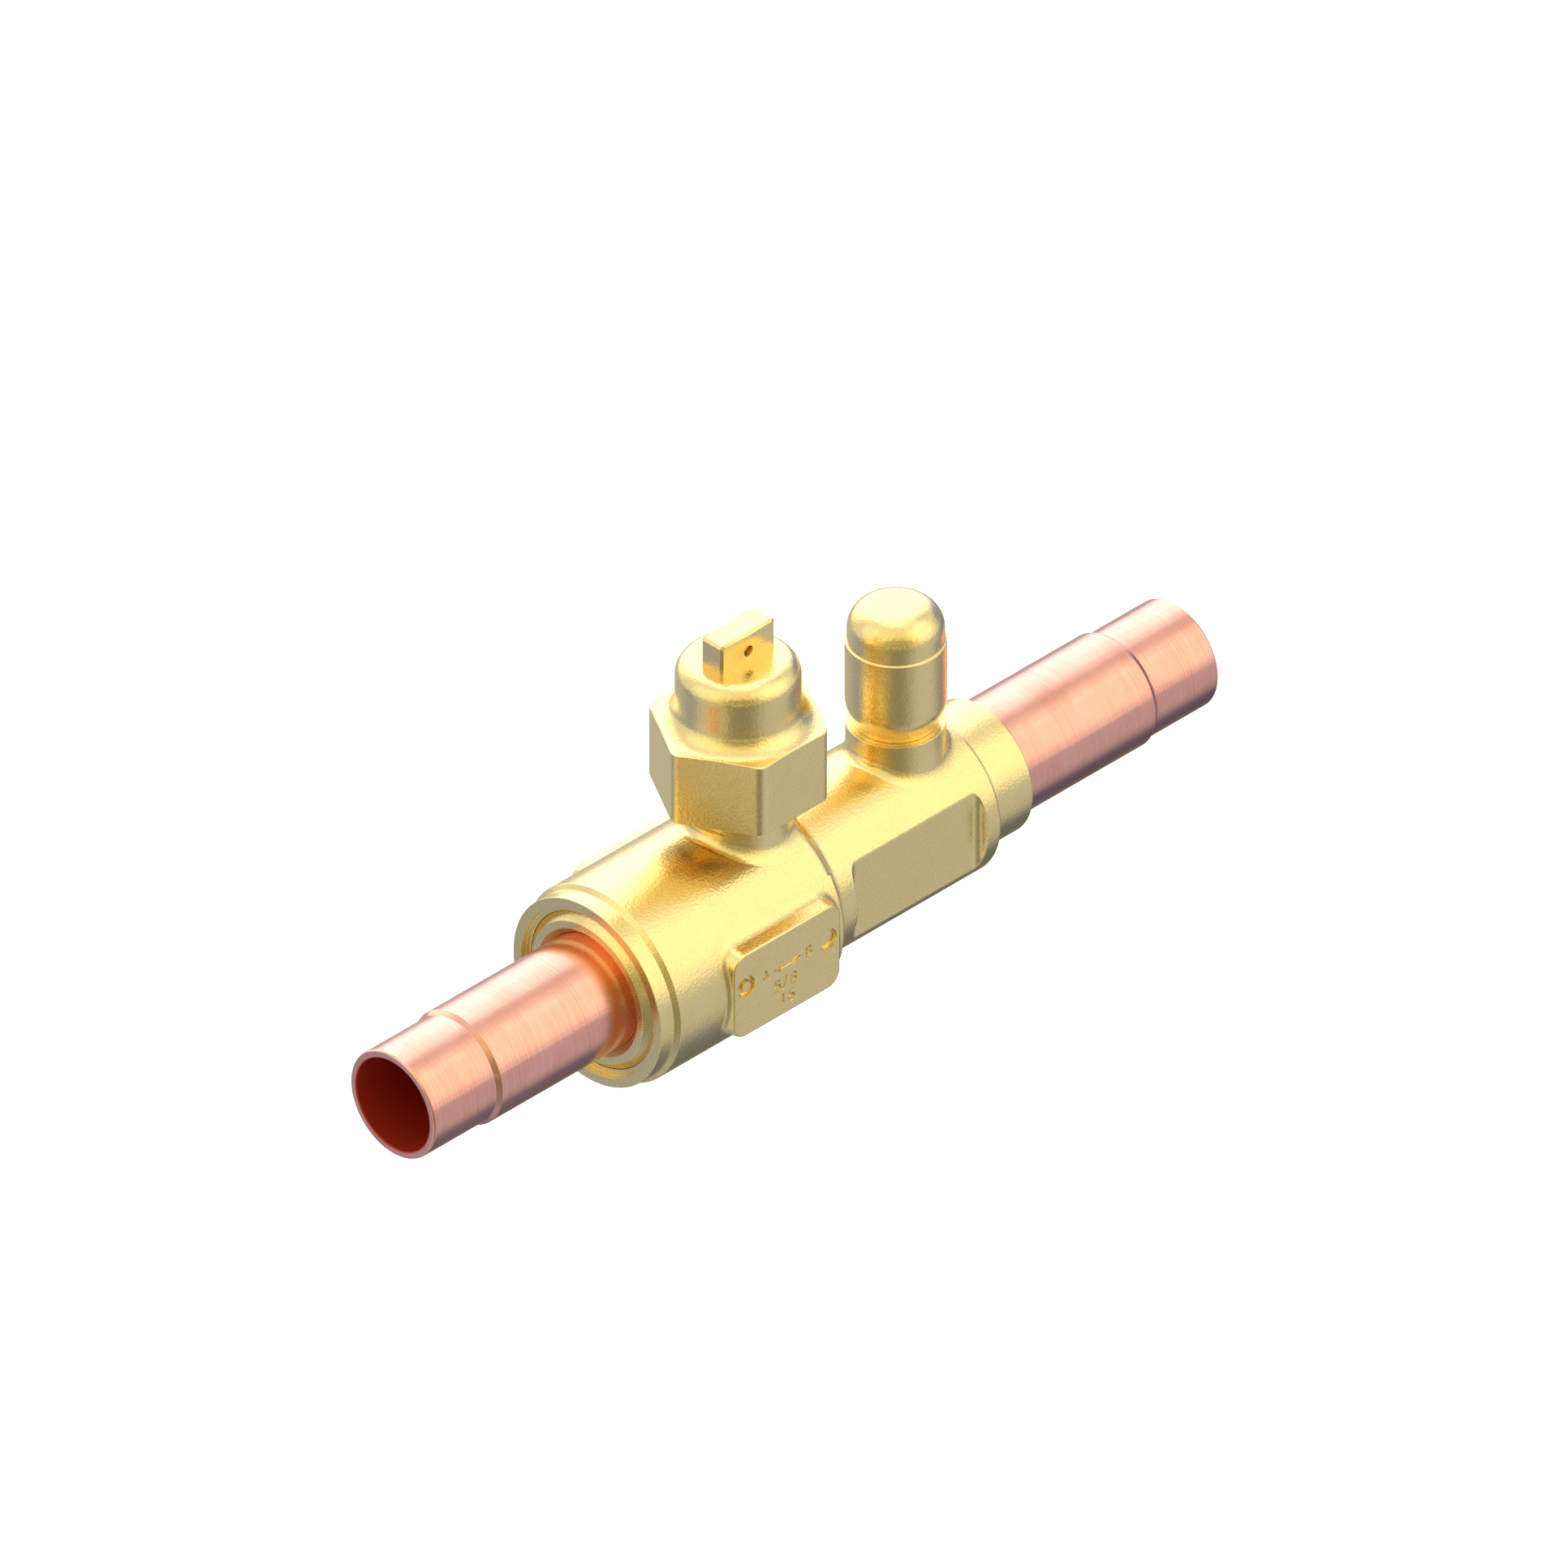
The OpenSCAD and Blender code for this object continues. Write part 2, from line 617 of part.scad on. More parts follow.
module stop_pin() color([0.70, 0.71, 0.73]) at_stem() translate([0, 0, stop_z])
    round_x(stop_d/2, stop_gap/2 - stop_r, stop_r - stop_gap/2);

// Outline of the hexagon, one corner on +X, each corner rounded in short steps
function hexagon() =
    let (corner_r = (hex_af/2 - hex_round)/cos(30))
    [for (i = [0:5]) each arc(corner_r*[cos(60*i), sin(60*i)], hex_round, 60*i - 30, 60*i + 30, 6)];

// Turned outline of the stem cap: sloping shoulder, fillet, round head
function stem_cap_outline() =
    let (corner_r = hex_af/2/cos(30) + CUT,
         shoulder = cap_bottom + hex_h,
         foot_r = dome_r + dome_fillet,
         foot_z = shoulder + hex_slope*(corner_r - foot_r))
    concat(
        [[0, cap_bottom], [corner_r, cap_bottom], [corner_r, shoulder]],
        arc([foot_r, foot_z + dome_fillet], dome_fillet, 270, 180),
        arc([dome_r - dome_round, dome_top - dome_round], dome_round, 0, 90),
        [[0, dome_top]]);

// Upright outline of the blade, w wide, with its top corners cut off
function blade_outline(w) =
    let (foot = dome_top - CUT, c = blade_chamfer)
    [[-w/2, foot], [w/2, foot], [w/2, blade_top - c], [w/2 - c, blade_top], [c - w/2, blade_top],
     [-w/2, blade_top - c]];

// Key blade with every free edge chamfered and a hole through it
module blade() difference() {
    l = blade_l/2;
    t = blade_t/2;
    c = blade_chamfer;
    intersection() {
        rotate([90, 0, 0]) linear_extrude(blade_t, center = true) polygon(blade_outline(blade_l));
        rotate([90, 0, 90]) linear_extrude(blade_l, center = true) polygon(blade_outline(blade_t));
        translate([0, 0, dome_top - CUT]) linear_extrude(blade_h + CUT) polygon([[l, c - t], [l, t - c],
            [l - c, t], [c - l, t], [-l, t - c], [-l, c - t], [c - l, -t], [l - c, -t]]);
    }
    translate([0, 0, blade_top - blade_hole_drop]) rotate([90, 0, 0])
        cylinder(d = blade_hole_d, h = blade_t + 2*CUT, center = true);
}

module stem_cap() color([0.83, 0.69, 0.36]) at_stem() difference() {
    union() {
        intersection() {
            translate([0, 0, cap_bottom]) linear_extrude(dome_h) polygon(hexagon());
            rotate_extrude() polygon(stem_cap_outline());
        }
        blade();
    }
    round_z(neck_thread_r + thread_gap, cap_bottom - CUT, cap_seat);
    round_z(hollow_r, cap_bottom, dome_top - dome_wall);
}

module stem_cap_seal() color([0.88, 0.87, 0.80]) at_stem()
    flat_ring(neck_thread_r - turned_gap - gasket_w, neck_thread_r - turned_gap, neck_h, cap_seat);

module at_service() at_stem() translate([service_x, 0, 0]) children();

module service_fitting() color([0.78, 0.64, 0.34]) at_service() difference() {
    rotate_extrude() polygon([[0, stub_end], [stub_d/2, stub_end], [stub_d/2, boss_h],
        [fitting_neck_d/2, boss_h], [fitting_neck_d/2, boss_h + fitting_neck_len],
        [fitting_thread_d/2, boss_h + fitting_neck_len + (fitting_thread_d - fitting_neck_d)/2],
        [fitting_thread_d/2, fitting_top - cone_h], [core_bore_d/2 + cone_rim, fitting_top],
        [0, fitting_top]]);
    // passage, room for the disc's travel, bore round the core's barrel and its threaded head
    round_z(passage_d/2, stub_end - CUT, fitting_top);
    round_z(core_disc_d/2 + core_gap, disc_room, fitting_top);
    round_z(core_body_d/2 + core_gap, core_end, fitting_top);
    round_z(core_bore_d/2, core_roof - core_gasket_h, fitting_top + CUT);
}

// Core housing: a slotted threaded head on a slimmer barrel that holds the spring
module core_housing() color([0.72, 0.60, 0.34]) at_service() difference() {
    rotate_extrude() polygon([[0, core_end], [core_body_d/2, core_end], [core_body_d/2, core_roof],
        [core_bore_d/2 - braze_gap, core_roof], [core_bore_d/2 - braze_gap, core_top], [0, core_top]]);
    round_z(pin_d/2 + pin_gap, core_end - CUT, core_top + CUT);
    round_z(core_body_d/2 - core_wall, spring_floor, core_roof);
    translate([-core_bore_d, -core_slot_w/2, core_top - core_slot_depth])
        cube([2*core_bore_d, core_slot_w, core_slot_depth + CUT]);
}

module core_gasket() color([0.90, 0.90, 0.86]) at_service()
    flat_ring(core_body_d/2, core_bore_d/2 - braze_gap, core_roof - core_gasket_h, core_roof);

module core_pin() color([0.70, 0.71, 0.73]) at_service() {
    round_z(pin_d/2, disc_bottom, pin_top);
    round_z(pin_collar_d/2, collar_z, core_roof);
}

module core_disc() color([0.10, 0.10, 0.11]) at_service()
    flat_ring(pin_d/2, core_disc_d/2, disc_bottom, core_end);

// Coil spring: rings of points along a helix, joined into one tube
module core_spring() {
    sides = 6;
    per_turn = 12;
    rings = per_turn*spring_turns;
    low = spring_floor + wire_d/2;
    rise = collar_z - spring_floor - wire_d;
    points = [for (i = [0:rings], k = [0:sides - 1]) let (a = 360*i/per_turn, b = 360*k/sides,
        r = spring_mean_r + wire_d/2*cos(b)) [r*cos(a), r*sin(a), low + rise*i/rings + wire_d/2*sin(b)]];
    sleeve = [for (i = [0:rings - 1], k = [0:sides - 1]) let (n = (k + 1)%sides)
        [i*sides + k, i*sides + n, (i + 1)*sides + n, (i + 1)*sides + k]];
    color([0.68, 0.69, 0.72]) at_service() polyhedron(points, concat(
        sleeve, [[for (k = [sides - 1:-1:0]) k]], [[for (k = [0:sides - 1]) rings*sides + k]]));
}

module service_cap() color([0.80, 0.66, 0.33]) at_service() {
    bore_r = fitting_thread_d/2 + thread_gap;
    ledge = (cap_d - cap_upper_d)/2;
    ledge_z = service_top - cap_ledge_drop;
    difference() {
        rotate_extrude() polygon(concat(
            [[0, service_bottom], [cap_rim_d/2, service_bottom], [cap_d/2, service_bottom + cap_taper_h],
             [cap_d/2, ledge_z - ledge/2], [cap_upper_d/2, ledge_z]],
            arc([cap_upper_d/2 - cap_round, service_top - cap_round], cap_round, 0, 90),
            [[0, service_top]]));
        round_z(bore_r + cap_relief, service_bottom - CUT, service_seat - cap_thread_len);
        round_z(bore_r, service_bottom, service_seat);
        round_z(cap_hollow_d/2, service_bottom, service_seat + cap_hollow_h);
    }
}

module service_cap_seal() color([0.88, 0.87, 0.80]) at_service()
    flat_ring(cap_hollow_d/2, fitting_thread_d/2, fitting_top, service_seat);

valve_body();
seat_retainer();
inlet_tube();
outlet_tube();
ball();
inlet_seat();
outlet_seat();
seat_spring();
retainer_o_ring();
stem();
stem_washer();
stem_o_ring_lower();
stem_o_ring_upper();
stop_pin();
stem_cap();
stem_cap_seal();
service_fitting();
core_housing();
core_gasket();
core_pin();
core_disc();
core_spring();
service_cap();
service_cap_seal();
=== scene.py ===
"""Dresses the shut-off ball valve: bright forged brass, turned brass, drawn copper ends, caps and threads.

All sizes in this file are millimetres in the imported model's frame, and become metres where a mesh, a pattern or
the stage is made. The pipe runs along X, the stem stands on Z at STEM_X, and the marked pad faces -Y.
"""

import logging
import math
from dataclasses import dataclass
from enum import Enum
from typing import Callable, Iterable, Optional, Sequence

import bpy
import numpy as np
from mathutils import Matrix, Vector


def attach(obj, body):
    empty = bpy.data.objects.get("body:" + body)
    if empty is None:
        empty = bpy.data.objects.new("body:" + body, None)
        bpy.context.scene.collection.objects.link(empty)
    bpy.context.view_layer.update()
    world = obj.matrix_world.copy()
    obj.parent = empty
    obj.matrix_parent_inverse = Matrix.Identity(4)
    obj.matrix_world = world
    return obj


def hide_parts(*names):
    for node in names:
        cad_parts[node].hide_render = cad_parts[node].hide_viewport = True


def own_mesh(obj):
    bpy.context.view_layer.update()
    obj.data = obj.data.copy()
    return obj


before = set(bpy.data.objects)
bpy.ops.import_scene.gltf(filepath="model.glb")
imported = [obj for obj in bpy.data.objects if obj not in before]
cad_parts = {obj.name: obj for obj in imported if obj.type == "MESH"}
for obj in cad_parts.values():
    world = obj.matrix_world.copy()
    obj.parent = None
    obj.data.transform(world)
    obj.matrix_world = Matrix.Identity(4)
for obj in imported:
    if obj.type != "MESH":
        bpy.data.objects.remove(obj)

LOG = logging.getLogger("ball_valve")
Array = np.ndarray
Field = Callable[[Array], Array]

MM = 0.001  # metres in a millimetre
STEM_X = 75.3  # stem axis, from the inlet mouth
SERVICE_X = STEM_X + 34.34  # service port axis
CREASE = math.radians(32)  # edges sharper than this stay crisp
SEAM = 0.012  # how far a blended piece lies under the surface it grows out of, so that the seam closes
CAP_PITCH = 1.5  # rise of the stem cap's thread in one turn
PORT_PITCH = 1.27  # rise of the service port's thread in one turn, 20 to the inch
PLAIN = 0.02  # radius of a corner that stays sharp


# ---------------------------------------------------------------- outlines and surfaces


def rounded_outline(corners: Sequence[tuple[float, float, float]], steps: int = 5, closed: bool = True) -> Array:
    """Rounds every corner of an outline with an arc that touches both of its sides.

    An arc of radius r at a corner that turns by w starts r*tan(w/2) before it. Between the two touching points
    the arc is the spherical blend of its end spokes. A guard point just outside each arc keeps the straight
    sides flat when they are shaded.

    Args:
        corners: Corner points as (first, second, radius).
        steps: Spans in each arc.
        closed: False leaves the first and last corner as they are.

    Returns:
        The outline's points, one row each.
    """
    data = np.asarray(corners, float)
    point, radius = data[:, :2], np.maximum(data[:, 2], PLAIN)
    back, ahead = np.roll(point, 1, 0) - point, np.roll(point, -1, 0) - point
    back_len, ahead_len = np.linalg.norm(back, axis=1), np.linalg.norm(ahead, axis=1)
    back, ahead = back / back_len[:, None], ahead / ahead_len[:, None]
    turn = math.pi - np.arccos(np.clip((back * ahead).sum(1), -1, 1))
    reach = radius * np.tan(turn / 2)
    if not closed:
        reach[[0, -1]] = 0
    free = ahead_len - reach - np.roll(reach, -1)
    guard_ahead = np.clip(free / 3, 0, 0.1)
    guard_back = np.roll(guard_ahead, 1)
    middle = back + ahead
    middle /= np.linalg.norm(middle, axis=1)[:, None]
    centre = point + middle * (radius / np.cos(turn / 2))[:, None]
    start, end = point + back * reach[:, None], point + ahead * reach[:, None]
    k = np.linspace(0, 1, steps + 1)[None, :, None]
    w = turn[:, None, None]
    arc = centre[:, None] + (np.sin((1 - k) * w) * (start - centre)[:, None]
                             + np.sin(k * w) * (end - centre)[:, None]) / np.sin(w)
    rows = np.concatenate([(start + back * guard_back[:, None])[:, None], arc,
                           (end + ahead * guard_ahead[:, None])[:, None]], 1)
    if not closed:
        rows[0], rows[-1] = point[0], point[-1]
    flat = rows.reshape(-1, 2)
    keep = np.linalg.norm(flat - np.roll(flat, 1, 0), axis=1) > 1e-4
    keep[0] = True
    return flat[keep]


def with_stations(outline: Array, start: float, end: float, stations: Array) -> Array:
    """Puts extra points on an outline's straight run between two distances.

    Args:
        outline: Points of (distance, radius).
        start: Where the run starts.
        end: Where the run ends, further along the outline.
        stations: Distances of the new points, in order.

    Returns:
        The outline with the new points in place.
    """
    before = int(np.nonzero((outline[:, 0] <= start) & (np.roll(outline[:, 0], -1) >= end))[0][0])
    new = np.stack([stations, np.full(len(stations), outline[before, 1])], 1)
    return np.insert(outline, before + 1, new, axis=0)


def subdivided(outline: Array, longest: float) -> Array:
    """Splits every span of a closed outline that is longer than a limit into equal parts.

    Args:
        outline: Points, one row each.
        longest: Longest span that stays whole.

    Returns:
        The outline with the new points in place.
    """
    step = np.roll(outline, -1, 0) - outline
    parts = np.maximum(np.ceil(np.linalg.norm(step, axis=1) / longest).astype(int), 1)
    span = np.repeat(np.arange(len(outline)), parts)
    place = np.arange(parts.sum()) - np.repeat(np.cumsum(parts) - parts, parts)
    return outline[span] + step[span] * (place / parts[span])[:, None]


def clustered(low: float, high: float, count: int, knots: Iterable[tuple[float, float]], tight: float = 6) -> Array:
    """Stations from low to high that crowd round some places.

    The density is 1 plus a bell of height tight round every knot, and the stations cut its running sum into
    equal parts.

    Args:
        low: First station.
        high: Last station.
        count: How many stations.
        knots: (place, half width) of each crowd.
        tight: How many times denser a crowd is.

    Returns:
        The stations in order.
    """
    fine = np.linspace(low, high, 6000)  # far finer than any crowd
    density = np.ones_like(fine)
    for place, half in knots:
        density += tight * np.exp(-((fine - place) / half) ** 2)
    total = np.concatenate([[0], np.cumsum((density[1:] + density[:-1]) / 2)])
    return np.interp(np.linspace(0, total[-1], count), total, fine)


def angles(count: int) -> Array:
    """Equal angles round a full turn, without the last one that would repeat the first."""
    return np.arange(count) * (2 * math.pi / count)


def around_x(along: Array, radius: Array, angle: Array) -> Array:
    """Grid of points turned about the pipe: (along, radius*sin(angle), radius*cos(angle))."""
    along, radius, angle = np.broadcast_arrays(along, radius, angle)
    return np.stack([along, radius * np.sin(angle), radius * np.cos(angle)], -1)


def around_z(x: float, radius: Array, angle: Array, height: Array) -> Array:
    """Grid of points turned about a vertical axis at x: (x + radius*cos(angle), radius*sin(angle), height)."""
    radius, angle, height = np.broadcast_arrays(radius, angle, height)
    return np.stack([x + radius * np.cos(angle), radius * np.sin(angle), height], -1)


def round_union(a: Array, b: Array, r: float) -> Array:
    """Distance to two solids joined by a fillet: where both are nearer than r, r less the distance to the corner
    of their faces moved out by r."""
    return np.maximum(r, np.minimum(a, b)) - np.hypot(np.maximum(r - a, 0), np.maximum(r - b, 0))


def round_meet(a: Array, b: Array, r: float) -> Array:
    """Distance to the common part of two solids, its edge rounded by r: the same sum with the signs turned."""
    return np.minimum(-r, np.maximum(a, b)) + np.hypot(np.maximum(r + a, 0), np.maximum(r + b, 0))


def march(solid: Field, start: Array, way: Array, reach: float) -> Array:
    """Finds where rays meet a solid by halving the stretch between a point outside and one inside.

    Args:
        solid: Distance function, negative inside.
        start: Points outside, last axis x, y, z.
        way: Unit directions, of the same shape.
        reach: Length of the rays, all of which end inside.

    Returns:
        The points on the surface.
    """
    near, far = np.zeros(start.shape[:-1]), np.full(start.shape[:-1], float(reach))
    for _ in range(24):
        middle = (near + far) / 2
        outside = solid(start + middle[..., None] * way) > 0
        near, far = np.where(outside, middle, near), np.where(outside, far, middle)
    return start + ((near + far) / 2)[..., None] * way


def box_distance(x: Array, y: Array, half_x: float, half_y: float, corner: float) -> Array:
    """Distance to a flat rectangle with round corners, centred on 0: the distance to the rectangle shrunk by
    the corner radius, less that radius."""
    qx, qy = np.abs(x) - half_x + corner, np.abs(y) - half_y + corner
    return np.hypot(np.maximum(qx, 0), np.maximum(qy, 0)) + np.minimum(np.maximum(qx, qy), 0) - corner


def thread_depth(angle: Array, height: Array, low: float, high: float, pitch: float, depth: float) -> Array:
    """Depth of a right-hand 60 degree thread below its crest.

    The phase rises by one for each pitch up and falls by one for each turn. The depth follows a triangle wave of
    the phase with its tips cut off, and fades in and out over a third of a pitch at the ends.

    Args:
        angle: Angle round the axis.
        height: Height of each point.
        low: Lower end of the thread.
        high: Upper end of the thread.
        pitch: Rise in one turn.
        depth: Full depth of the groove.

    Returns:
        The depth at each point.
    """
    steep, crest = 1.35, 0.17  # steepness of the wave, and how much of it the flat crest takes
    phase = (height - low) / pitch - angle / (2 * math.pi)
    wave = np.clip(steep * (1 - 2 * np.abs(phase - np.floor(phase) - 0.5)) - crest, 0, 1)
    fade = np.clip(np.minimum(height - low, high - height) / (pitch / 3), 0, 1)
    return depth * wave * fade


def make_piece(name: str, points: Array, body: str, finish: "Finish",
               replaces: Sequence[str] = (), wrap_rows: bool = True, poles: bool = False) -> bpy.types.Object:
    """Makes a closed mesh from a grid of points whose columns run round and meet.

    Each quad joins four neighbours in the grid. If its volume, a sixth of the sum of the corners' triple
    products, comes out negative, all faces are turned round.

    Args:
        name: Name of the piece.
        points: Grid of points in millimetres, shape (rows, columns, 3).
        body: Body that the piece rides on.
        finish: What its surface is.
        replaces: CAD nodes that it stands for.
        wrap_rows: True joins the last row to the first.
        poles: True closes the first and the last row, each to one point.

    Returns:
        The finished piece.
    """
    rows, columns = points.shape[:2]
    grid = np.arange(rows * columns).reshape(rows, columns)
    verts = points.reshape(-1, 3)
    if poles:
        grid = np.arange((rows - 2) * columns).reshape(rows - 2, columns) + 1
        verts = np.concatenate([points[0, :1], points[1:-1].reshape(-1, 3), points[-1, :1]])
    ring = np.concatenate([grid, grid[:1]]) if wrap_rows and not poles else grid
    a, b = ring[:-1], ring[1:]
    quads = np.stack([a, b, np.roll(b, -1, 1), np.roll(a, -1, 1)], -1).reshape(-1, 4)
    fans = np.zeros((0, 3), int)
    if poles:
        first, last = grid[0], grid[-1]
        fans = np.concatenate([np.stack([np.zeros_like(first), first, np.roll(first, -1)], -1),
                               np.stack([np.full_like(last, len(verts) - 1), np.roll(last, -1), last], -1)])
    corners = np.concatenate([quads[:, [0, 1, 2]], quads[:, [0, 2, 3]], fans])
    v = verts - verts.mean(0)
    if np.einsum("ij,ij->i", v[corners[:, 0]], np.cross(v[corners[:, 1]], v[corners[:, 2]])).sum() < 0:
        quads, fans = quads[:, ::-1], fans[:, ::-1]
    mesh = bpy.data.meshes.new(name)
    mesh.from_pydata((verts * MM).tolist(), [], quads.tolist() + fans.tolist())
    mesh.polygons.foreach_set("use_smooth", np.ones(len(mesh.polygons), bool))
    mesh.set_sharp_from_angle(angle=CREASE)
    mesh.materials.append(finish.material())
    piece = bpy.data.objects.new(name, mesh)
    bpy.context.scene.collection.objects.link(piece)
    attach(piece, body)
    if replaces:
        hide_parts(*replaces)
    LOG.info("%s: %d faces on %s", name, len(mesh.polygons), body)
    return piece


# ---------------------------------------------------------------- finishes


def linear(colour: str) -> tuple[float, float, float, float]:
    """Turns an sRGB value to linear: below 0.04045 by a straight line, above it by a power of 2.4.

    Args:
        colour: Six hex digits.

    Returns:
        Red, green, blue and a full alpha.
    """
    c = np.array([int(colour[i:i + 2], 16) for i in (0, 2, 4)]) / 255
    c = np.where(c <= 0.04045, c / 12.92, ((c + 0.055) / 1.055) ** 2.4)
    return float(c[0]), float(c[1]), float(c[2]), 1.0


def add_node(tree: bpy.types.NodeTree, kind: str, inputs: Optional[dict] = None, **settings) -> bpy.types.Node:
    """Adds a node with its settings.

    Args:
        tree: Node tree that it goes into.
        kind: Blender's name of the node type.
        inputs: Socket name or number to the value or the output socket that feeds it.
        settings: Properties of the node.

    Returns:
        The new node.
    """
    node = tree.nodes.new(kind)
    for key, value in settings.items():
        setattr(node, key, value)
    for key, value in (inputs or {}).items():
        if isinstance(value, bpy.types.NodeSocket):
            tree.links.new(value, node.inputs[key])
        else:
            node.inputs[key].default_value = value
    return node


class Grain(Enum):
    """Which way the fine marks of a finish run: stretch of the noise along X, Y and Z."""

    PEBBLED = (1.0, 1.0, 1.0)
    ROUND_PIPE = (1.0, 0.02, 0.02)
    ALONG_PIPE = (0.012, 1.0, 1.0)
    LEVEL_RINGS = (0.03, 0.03, 1.0)


@dataclass(frozen=True)
class Finish:
    """A surface: what it is made of, and how it was made.

    Attributes:
        name: Common name of the material and finish.
        light: Colour of the cleaner parts, sRGB hex.
        dark: Colour of the duller parts, sRGB hex.
        metallic: 1 for bare metal, 0 for the rest.
        rough: Roughness where it is smoothest.
        rough_more: How much rougher it gets.
        cloud_mm: Size of the colour clouds.
        grain: Direction of the fine marks.
        grain_mm: Spacing of the fine marks.
        relief_mm: Height of the fine marks.
        octaves: How many finer layers the marks carry.
        ripple_mm: Length of the shallow waves under them.
        ripple_relief_mm: Height of those waves.
        ripple_grain: Direction of those waves.
        anisotropy: How far the marks stretch a highlight.
        dull_and_shaded_bore_mm: Radius about the pipe axis inside which the metal is duller and painted deep red as
            shade and copper-red bounced light, 0 for none.
        bore: Colour of that painted shade and bounced light in the bore, sRGB hex.
    """

    name: str
    light: str
    dark: str
    metallic: float = 1.0
    rough: float = 0.2
    rough_more: float = 0.1
    cloud_mm: float = 5.0
    grain: Grain = Grain.PEBBLED
    grain_mm: float = 0.5
    relief_mm: float = 0.002
    octaves: float = 4.0
    ripple_mm: float = 3.0
    ripple_relief_mm: float = 0.004
    ripple_grain: Grain = Grain.PEBBLED
    anisotropy: float = 0.0
    dull_and_shaded_bore_mm: float = 0.0
    bore: str = "000000"

    def noise(self, tree: bpy.types.NodeTree, place: bpy.types.NodeSocket, size_mm: float, grain: Grain,
              detail: float = 3.0) -> bpy.types.NodeSocket:
        """Adds a noise, stretched as the grain says.

        Args:
            tree: The material's nodes.
            place: Object coordinates.
            size_mm: Width of the noise's cells.
            grain: Which way they are drawn out.
            detail: How many finer layers it carries.

        Returns:
            The noise, from 0 to 1.
        """
        mapping = add_node(tree, "ShaderNodeMapping", {"Vector": place, "Scale": grain.value})
        return add_node(tree, "ShaderNodeTexNoise",
                        {"Vector": mapping.outputs[0], "Scale": 1 / (size_mm * MM), "Detail": detail,
                         "Roughness": 0.55}).outputs["Fac"]

    def material(self) -> bpy.types.Material:
        """Builds the material once: two colours and a roughness that follow the marks, over two layers of bumps.

        Returns:
            The material, or the one already built.
        """
        if self.name in bpy.data.materials:
            return bpy.data.materials[self.name]
        material = bpy.data.materials.new(self.name)
        material.use_nodes = True
        tree = material.node_tree
        tree.nodes.clear()
        place = add_node(tree, "ShaderNodeTexCoord").outputs["Object"]
        clouds = self.noise(tree, place, self.cloud_mm, Grain.PEBBLED)
        marks = self.noise(tree, place, self.grain_mm, self.grain, self.octaves)
        ripples = self.noise(tree, place, self.ripple_mm, self.ripple_grain, 1.0)
        blend = add_node(tree, "ShaderNodeMapRange",
                         {"Value": add_node(tree, "ShaderNodeMath", {0: clouds, 1: marks},
                                            operation="MULTIPLY").outputs[0], "From Min": 0.12, "From Max": 0.42})
        colour = add_node(tree, "ShaderNodeMix", {"Factor": blend.outputs[0], 6: linear(self.light),
                                                  7: linear(self.dark)}, data_type="RGBA")
        rough = add_node(tree, "ShaderNodeMapRange",
                         {"Value": marks, "From Min": 0.3, "From Max": 0.75, "To Min": self.rough,
                          "To Max": self.rough + self.rough_more})
        paint, bare, sheen = colour.outputs[2], self.metallic, rough.outputs[0]
        # Inside the bore the metal is duller, and painted deep red as the shade and copper-red bounced light of the
        # tube's inside
        if self.dull_and_shaded_bore_mm:
            across = add_node(tree, "ShaderNodeVectorMath", {0: place, 1: (0.0, 1.0, 1.0)}, operation="MULTIPLY")
            radius = add_node(tree, "ShaderNodeVectorMath", {0: across.outputs[0]}, operation="LENGTH")
            inside = add_node(tree, "ShaderNodeMapRange",
                              {"Value": radius.outputs["Value"], "From Min": (self.dull_and_shaded_bore_mm + 0.15) * MM,
                               "From Max": self.dull_and_shaded_bore_mm * MM}).outputs[0]
            paint = add_node(tree, "ShaderNodeMix", {"Factor": inside, 6: paint, 7: linear(self.bore)},
                             data_type="RGBA").outputs[2]
            bare = add_node(tree, "ShaderNodeMapRange", {"Value": inside, "To Min": self.metallic,
                                                         "To Max": 0.3}).outputs[0]
            sheen = add_node(tree, "ShaderNodeMix", {"Factor": inside, 2: sheen, 3: 0.42}).outputs[0]
        waves = add_node(tree, "ShaderNodeBump", {"Height": ripples, "Strength": 1.0,
                                                  "Distance": self.ripple_relief_mm * MM})
        bump = add_node(tree, "ShaderNodeBump", {"Height": marks, "Strength": 1.0, "Distance": self.relief_mm * MM,
                                                 "Normal": waves.outputs[0]})
        shader = add_node(tree, "ShaderNodeBsdfPrincipled",
                          {"Base Color": paint, "Metallic": bare, "Roughness": sheen,
                           "Normal": bump.outputs[0], "Anisotropic": self.anisotropy})
        add_node(tree, "ShaderNodeOutputMaterial", {"Surface": shader.outputs[0]})
        return material


# Bright-dipped brass forging: near-mirror gloss over a skin pebbled by the die and the acid
FORGED_BRASS = Finish("bright_forged_brass", "F7DD9B", "F3D692", rough=0.22, rough_more=0.07, cloud_mm=6.0,
                      grain_mm=0.45, relief_mm=0.046, octaves=1.3, ripple_mm=2.6, ripple_relief_mm=0.016)
# Brass turned on a lathe: rings a tenth of a millimetre apart that stretch the highlight across them
TURNED_BRASS = Finish("turned_brass", "F7DD9B", "F0D38F", rough=0.16, rough_more=0.10, cloud_mm=4.0,
                      grain=Grain.LEVEL_RINGS, grain_mm=0.35, relief_mm=0.002, ripple_mm=3.0,
                      ripple_relief_mm=0.003, anisotropy=0.3)
# Copper tube drawn bright and brushed round: soft pink mirror with fine bands across and long scores along; inside
# the bore a duller metal painted deep red as shade and bounced light
DRAWN_COPPER = Finish("brushed_drawn_copper", "F7B7A2", "EAA38D", rough=0.17, rough_more=0.09, cloud_mm=7.0,
                      grain=Grain.ROUND_PIPE, grain_mm=0.3, relief_mm=0.004, ripple_mm=0.8,
                      ripple_relief_mm=0.016, ripple_grain=Grain.ALONG_PIPE, anisotropy=0.2, dull_and_shaded_bore_mm=8.1,
                      bore="B43018")
